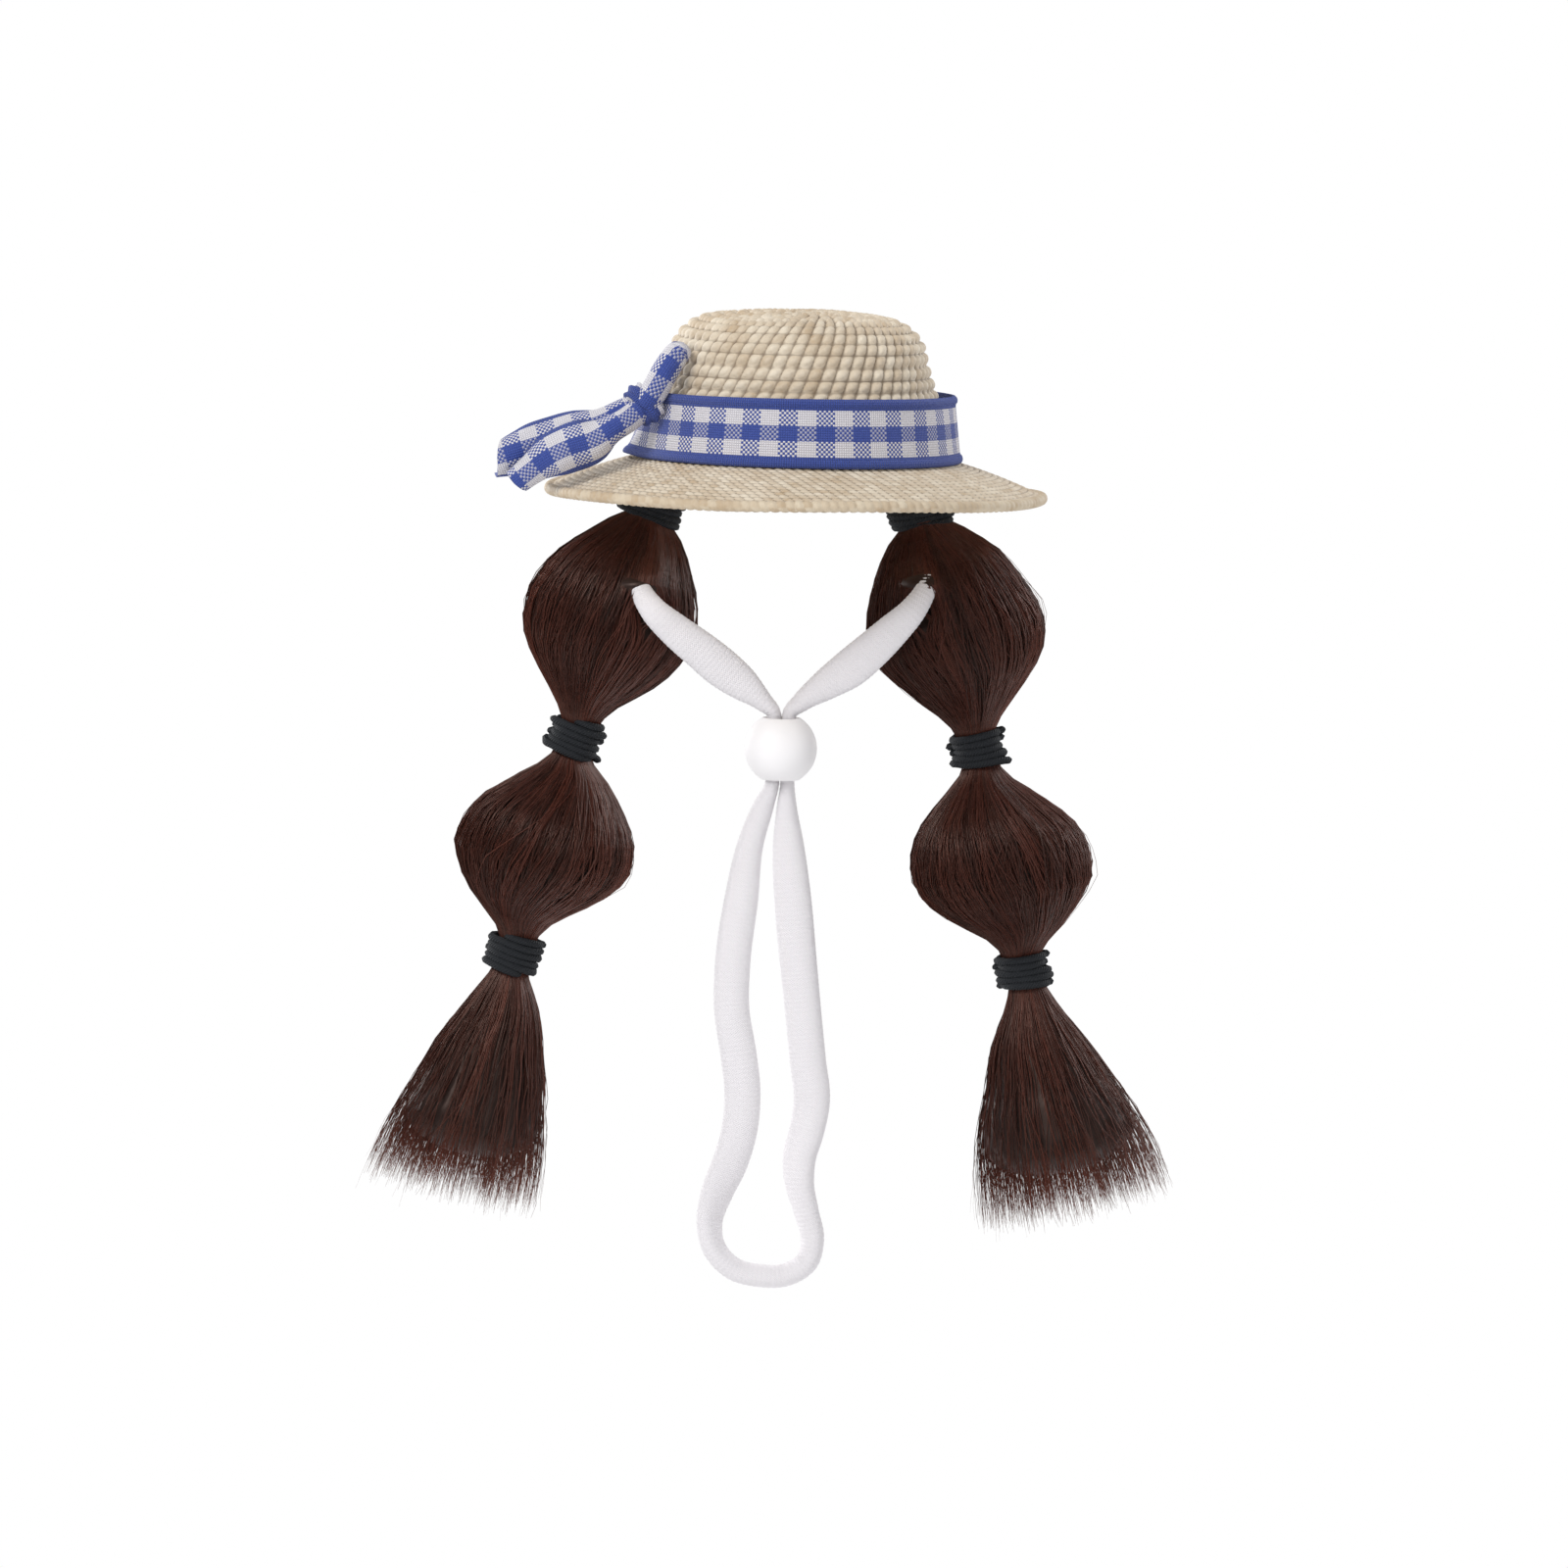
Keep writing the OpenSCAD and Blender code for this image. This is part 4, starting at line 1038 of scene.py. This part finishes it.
def material(name, **settings):
    """A material and its Principled shader, with settings written on the shader's own sockets."""
    made = bpy.data.materials.new(name)
    made.use_nodes = True
    tree = made.node_tree
    shader = tree.nodes["Principled BSDF"]
    for label, value in settings.items():
        shader.inputs[label.replace("_", " ")].default_value = value
    return made, tree, shader


def bumped(tree, shader, height, distance, strength=1.0):
    """Joins a height to the shader's Normal through a Bump node."""
    bump = node(tree, "ShaderNodeBump", Height=height, Distance=distance, Strength=strength)
    tree.links.new(bump.outputs[0], shader.inputs["Normal"])


def attribute(tree, name):
    """The output of a point attribute as a number."""
    made = tree.nodes.new("ShaderNodeAttribute")
    made.attribute_name = name
    return made.outputs["Fac"]


def flat_place(tree):
    """A strip's flat coordinates in millimetres: both at once, the first alone and the second alone."""
    flat = node(tree, "ShaderNodeUVMap")
    flat.uv_map = "flat"
    split = node(tree, "ShaderNodeSeparateXYZ", Vector=flat.outputs[0])
    return flat.outputs[0], split.outputs[0], split.outputs[1]


# %% [markdown]
# ### Shared networks
# Straw, elastic, thread and ribbon all have fine fibres, so one group gives a fibre height to all of
# them. A second group gives straw its colour. It takes the random number of a stitch and its
# height, picks a tone between pale cream and tan, and paints shade into the grooves between the stitches.

# %% Shared groups
fibres, g_in, g_out = group(
    "Fine fibres",
    [("Scale", "NodeSocketFloat", 1.0), ("Detail", "NodeSocketFloat", 3.0)],
    [("Height", "NodeSocketFloat")],
)
where = node(fibres, "ShaderNodeTexCoord")
noise = node(fibres, "ShaderNodeTexNoise", Vector=where.outputs["Object"], Roughness=0.65)
fibres.links.new(maths(fibres, "MULTIPLY", g_in.outputs["Scale"], 1000.0), noise.inputs["Scale"])
fibres.links.new(g_in.outputs["Detail"], noise.inputs["Detail"])
fibres.links.new(noise.outputs[0], g_out.inputs["Height"])

straw_tone_and_shade, g_in, g_out = group(
    "Straw tone and groove shade",
    [("Stitch", "NodeSocketFloat", 0.5), ("Depth", "NodeSocketFloat", 1.0),
     ("Pale", "NodeSocketColor", (0.74, 0.655, 0.52, 1)),
     ("Middle", "NodeSocketColor", (0.57, 0.465, 0.335, 1)),
     ("Tan", "NodeSocketColor", (0.44, 0.30, 0.16, 1)),
     # Painted shade: the dark colour put into the grooves between the stitches.
     ("Painted groove shade", "NodeSocketColor", (0.13, 0.085, 0.05, 1))],
    [("Color", "NodeSocketColor")],
)
where = node(straw_tone_and_shade, "ShaderNodeTexCoord")
patches = node(straw_tone_and_shade, "ShaderNodeTexNoise", Vector=where.outputs["Object"], Scale=95.0, Detail=2.0)
streaks = node(straw_tone_and_shade, "ShaderNodeTexNoise", Vector=where.outputs["Object"], Scale=900.0, Detail=3.0)
from_stitch = maths(straw_tone_and_shade, "MULTIPLY", g_in.outputs["Stitch"], 0.5)
from_streaks = maths(straw_tone_and_shade, "MULTIPLY", streaks.outputs[0], 0.5)
from_patches = maths(straw_tone_and_shade, "MULTIPLY", maths(straw_tone_and_shade, "SUBTRACT", patches.outputs[0], 0.5), 0.9)
number = maths(straw_tone_and_shade, "ADD", maths(straw_tone_and_shade, "ADD", from_stitch, from_streaks), from_patches)
to_middle = maths(straw_tone_and_shade, "MULTIPLY", maths(straw_tone_and_shade, "SUBTRACT", number, 0.15), 1.7, clamp=True)
to_tan = maths(straw_tone_and_shade, "MULTIPLY", maths(straw_tone_and_shade, "SUBTRACT", number, 0.74), 2.6, clamp=True)
colour = mixed(straw_tone_and_shade, to_middle, g_in.outputs["Pale"], g_in.outputs["Middle"])
colour = mixed(straw_tone_and_shade, to_tan, colour, g_in.outputs["Tan"])
# Painted shade: where the relief depth is under 0.42, the colour goes towards the dark groove colour.
below = maths(straw_tone_and_shade, "SUBTRACT", 0.42, g_in.outputs["Depth"])
groove_shade = maths(straw_tone_and_shade, "MULTIPLY", below, 2.0, clamp=True)
straw_tone_and_shade.links.new(mixed(straw_tone_and_shade, groove_shade, colour, g_in.outputs["Painted groove shade"]), g_out.inputs["Color"])
print("shared groups:", fibres.name, "and", straw_tone_and_shade.name)

# %% [markdown]
# ### Straw
# The crown and the brim share one straw, whose grooves get painted shade by the depth attribute. The edge
# cord has no grooves of that kind and is a little darker, so it gives the same group its own values.

# %% Straw
def straw_material(name, tone_inputs):
    """Straw with the shared tone, and fine fibres as a bump."""
    made, tree, shader = material(name, Roughness=0.62, Specular_IOR_Level=0.35)
    tone = use_group(tree, straw_tone_and_shade, Stitch=attribute(tree, "tint"), **tone_inputs(tree))
    tree.links.new(tone.outputs[0], shader.inputs["Base Color"])
    bumped(tree, shader, use_group(tree, fibres, Scale=1.6).outputs[0], 0.0003, 0.6)
    return made


straw = straw_material("Straw", lambda tree: {"Depth": attribute(tree, "depth")})
EDGE_TONES = {"Depth": 1.0, "Pale": (0.66, 0.57, 0.43, 1), "Middle": (0.52, 0.41, 0.28, 1)}
straw_edge = straw_material("Straw edge", lambda tree: EDGE_TONES)
print(straw.name, "and", straw_edge.name, "ready")

# %% [markdown]
# ### Gingham
# Gingham is woven from two colours of thread in both directions. Where a blue thread crosses a blue
# one the cloth is blue, where white crosses white it is white, and elsewhere the two alternate from
# thread to thread. The material does just that. A chequerboard of threads says whether the lengthwise
# or the crosswise thread is on top, and that thread's own stripe gives the colour. The ribbon's two
# edges are blue all along, and its middle stripe keeps some blue between the checks.

# %% Gingham
WHITE_THREAD, BLUE_THREAD = (0.80, 0.78, 0.81, 1), (0.036, 0.07, 0.33, 1)
# The second dark navy is painted shade for the gaps between the threads.
FADED_BLUE, THREAD_GAP_SHADE = (0.12, 0.18, 0.54, 1), (0.05, 0.055, 0.12, 1)
THREAD = 0.55
gingham, tree, shader = material(
    "Gingham ribbon", Roughness=0.8, Specular_IOR_Level=0.2, Sheen_Weight=0.15, Sheen_Roughness=0.5
)
flat, along, across = flat_place(tree)
from_middle = maths(tree, "ABSOLUTE", across)
edge = maths(tree, "GREATER_THAN", from_middle, 5.4)
middle_stripe = maths(tree, "LESS_THAN", from_middle, 1.8)
in_check = maths(tree, "MODULO", maths(tree, "ADD", along, 4 * CHECK), CHECK)
cross_stripe = maths(tree, "LESS_THAN", in_check, 0.5 * CHECK)
thread_u = maths(tree, "FLOOR", maths(tree, "DIVIDE", along, THREAD))
thread_v = maths(tree, "FLOOR", maths(tree, "DIVIDE", across, THREAD))
odd = maths(tree, "ABSOLUTE", maths(tree, "MODULO", maths(tree, "ADD", thread_u, thread_v), 2.0))
on_top = maths(tree, "LESS_THAN", odd, 0.5)
blue_along = maths(tree, "MULTIPLY", middle_stripe, on_top)
blue_across = maths(tree, "MULTIPLY", cross_stripe, maths(tree, "SUBTRACT", 1.0, on_top))
blue = maths(tree, "MAXIMUM", maths(tree, "ADD", blue_along, blue_across), edge)
blue = maths(tree, "MAXIMUM", blue, maths(tree, "MULTIPLY", middle_stripe, 0.45))
patchy = node(tree, "ShaderNodeTexNoise", Vector=flat, Scale=1.9, Detail=3.0)
fading = maths(tree, "MULTIPLY", maths(tree, "SUBTRACT", patchy.outputs[0], 0.25), 0.7, clamp=True)
threads = mixed(tree, blue, WHITE_THREAD, mixed(tree, fading, BLUE_THREAD, FADED_BLUE))


def bulge(place):
    """|sin(pi * place / THREAD)|: 1 on the middle of each thread and 0 between two threads."""
    return maths(tree, "ABSOLUTE", maths(tree, "SINE", maths(tree, "MULTIPLY", place, math.pi / THREAD)))


bulge_u, bulge_v = bulge(along), bulge(across)
# Painted shade: between the threads, where both bulges are low, the colour goes part way to dark navy.
both = maths(tree, "MULTIPLY", maths(tree, "MULTIPLY", bulge_u, bulge_v), 1.5)
gap_shade = maths(tree, "MULTIPLY", maths(tree, "SUBTRACT", 0.75, both, clamp=True), 0.5)
tree.links.new(mixed(tree, gap_shade, threads, THREAD_GAP_SHADE), shader.inputs["Base Color"])
edge_bulge = maths(tree, "ADD", bulge_v, maths(tree, "MULTIPLY", edge, 0.6))
bumped(tree, shader, maths(tree, "MULTIPLY", bulge_u, edge_bulge), 0.00025, 0.9)
print("gingham:", len(tree.nodes), "nodes")

# %% [markdown]
# ### Hair
# Brown hair is almost black in its depth and red where the light comes through its edges. Both are partly
# painted: the colour runs between the two by each point's tint. Dark is the hair's own tone, and in the
# dark body painted shade; red is partly each lock's own tone and partly painted light through the strays
# and tail tips. A reddish sheen brightens the rim.

# %% Hair
hair, tree, shader = material(
    "Hair", Roughness=0.4, Specular_IOR_Level=0.42, Specular_Tint=(1.0, 0.72, 0.62, 1), Sheen_Weight=0.16,
    Sheen_Roughness=0.35, Sheen_Tint=(0.6, 0.17, 0.12, 1), Anisotropic=0.5,
)
# Dark end: the hair's own tone and painted shade. Red end: its own tone and painted light through thin hair.
DARK_HAIR_AND_SHADE, RED_HAIR_AND_GLOW = (0.011, 0.0055, 0.0045, 1), (0.13, 0.034, 0.02, 1)
tree.links.new(mixed(tree, attribute(tree, "tint"), DARK_HAIR_AND_SHADE, RED_HAIR_AND_GLOW), shader.inputs["Base Color"])
print("hair runs from", DARK_HAIR_AND_SHADE[:3], "to", RED_HAIR_AND_GLOW[:3])

# %% [markdown]
# ### Elastics and strap
# Both are textiles on a stretched core. The black cord has a slanted braid, which is a sine wave over
# both of its flat coordinates. The strap's knit is the product of two waves, one along and one round.

# %% Elastics and strap
BRAID_PITCH, KNIT = 0.7, 0.55
elastic, tree, shader = material(
    "Covered elastic", Base_Color=(0.012, 0.014, 0.017, 1), Roughness=0.8, Specular_IOR_Level=0.3
)
_, round_it, along_it = flat_place(tree)
turned_by = maths(tree, "MULTIPLY", along_it, 2 * math.pi / BRAID_PITCH)
twill = maths(tree, "SINE", maths(tree, "ADD", maths(tree, "MULTIPLY", round_it, 2 * math.pi), turned_by))
fuzz = maths(tree, "MULTIPLY", use_group(tree, fibres, Scale=2.0).outputs[0], 1.2)
bumped(tree, shader, maths(tree, "ADD", twill, fuzz), 0.00008)

strap_white, tree, shader = material(
    "Soft knitted elastic", Base_Color=(0.81, 0.785, 0.80, 1), Roughness=0.9, Specular_IOR_Level=0.15,
    Sheen_Weight=0.3, Sheen_Roughness=0.5,
)
_, round_it, along_it = flat_place(tree)
loops, rows_of_loops = (
    maths(tree, "SINE", maths(tree, "MULTIPLY", place, 2 * math.pi / KNIT)) for place in (round_it, along_it)
)
knit = maths(tree, "MULTIPLY", loops, rows_of_loops)
bumped(tree, shader, maths(tree, "ADD", knit, use_group(tree, fibres, Scale=1.2).outputs[0]), 0.00006)
print("braid every", BRAID_PITCH, "mm, knit every", KNIT, "mm")

# %% [markdown]
# ### Bead and thread
# Moulded plastic is almost even, so a faint grain is enough. Thread is a plain fibre.

# %% Bead and thread
bead_white, tree, shader = material(
    "Moulded bead", Base_Color=(0.88, 0.865, 0.865, 1), Roughness=0.55, Specular_IOR_Level=0.35
)
bumped(tree, shader, use_group(tree, fibres, Scale=0.25, Detail=2.0).outputs[0], 0.00004)

thread_white, tree, shader = material(
    "Sewing thread", Base_Color=(0.78, 0.74, 0.64, 1), Roughness=0.8, Specular_IOR_Level=0.2
)
bumped(tree, shader, use_group(tree, fibres, Scale=4.0).outputs[0], 0.00005)
print(bead_white.name, "and", thread_white.name, "ready")

# %% [markdown]
# ### Each piece gets its material
# Every piece carries the name of its material slot, either from its own cell or, for a CAD piece that
# is used as it is, from the record. One loop gives all of them their material.

# %% Give every piece its material
BY_SLOT = {
    "straw": straw, "straw_edge": straw_edge, "gingham": gingham, "hair": hair, "hair_elastic": elastic,
    "strap_elastic": strap_white, "bead": bead_white, "thread": thread_white,
}
slot_of = {part["node"]: part["material_slot"] for part in frame["record"]["subparts"]}
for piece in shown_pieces():
    named = piece.get("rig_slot") or slot_of[piece["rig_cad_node"]]
    piece.data.materials.clear()
    piece.data.materials.append(BY_SLOT[named])

# %% [markdown]
# ## Light
# The hat hangs in front of plain white, in soft light from all round. A large lamp at the upper left
# gives the straw its relief, and a weaker one from the right and behind lifts the edge of the dark
# hair. Only the camera sees the pure white; for lighting, the surroundings are a little dimmer.

# %% Surroundings, floor and lamps
world = bpy.data.worlds.new("white surroundings")
bpy.context.scene.world = world
world.use_nodes = True
tree = world.node_tree
background = tree.nodes["Background"]
seen = node(tree, "ShaderNodeLightPath")
DIM_WHITE, PURE_WHITE = (0.62, 0.62, 0.64, 1), (1, 1, 1, 1)
shown = mixed(tree, seen.outputs["Is Camera Ray"], DIM_WHITE, PURE_WHITE)
tree.links.new(shown, background.inputs["Color"])


def lamp(name, place, size, power, colour=(1, 1, 1)):
    """A square lamp that points at the hat."""
    light = bpy.data.lights.new(name, "AREA")
    light.size, light.energy, light.color = size, power, colour
    made = bpy.data.objects.new(name, light)
    made.location = place
    made.rotation_euler = (Vector((0, 0, -0.07)) - Vector(place)).to_track_quat("-Z", "Y").to_euler()
    bpy.context.collection.objects.link(made)


lamp("key lamp", (-0.9, -1.1, 1.1), 0.7, 16)
lamp("front lamp", (0.3, -1.8, 0.3), 1.2, 4)
lamp("rim lamp left", (-0.9, 0.9, 0.2), 0.7, 10)
lamp("rim lamp right", (0.9, 0.9, 0.3), 0.7, 7)

floor_mesh = bpy.data.meshes.new("floor")
floor_mesh.from_pydata([(-1, -1, -0.5), (1, -1, -0.5), (1, 1, -0.5), (-1, 1, -0.5)], [], [(0, 1, 2, 3)])
floor = bpy.data.objects.new("floor", floor_mesh)
bpy.context.collection.objects.link(floor)
pale, tree, shader = material("Pale floor", Base_Color=(0.9, 0.9, 0.9, 1), Roughness=0.9)
floor_mesh.materials.append(pale)
bpy.context.scene.view_settings.view_transform = "Standard"
print("lamps and floor placed")
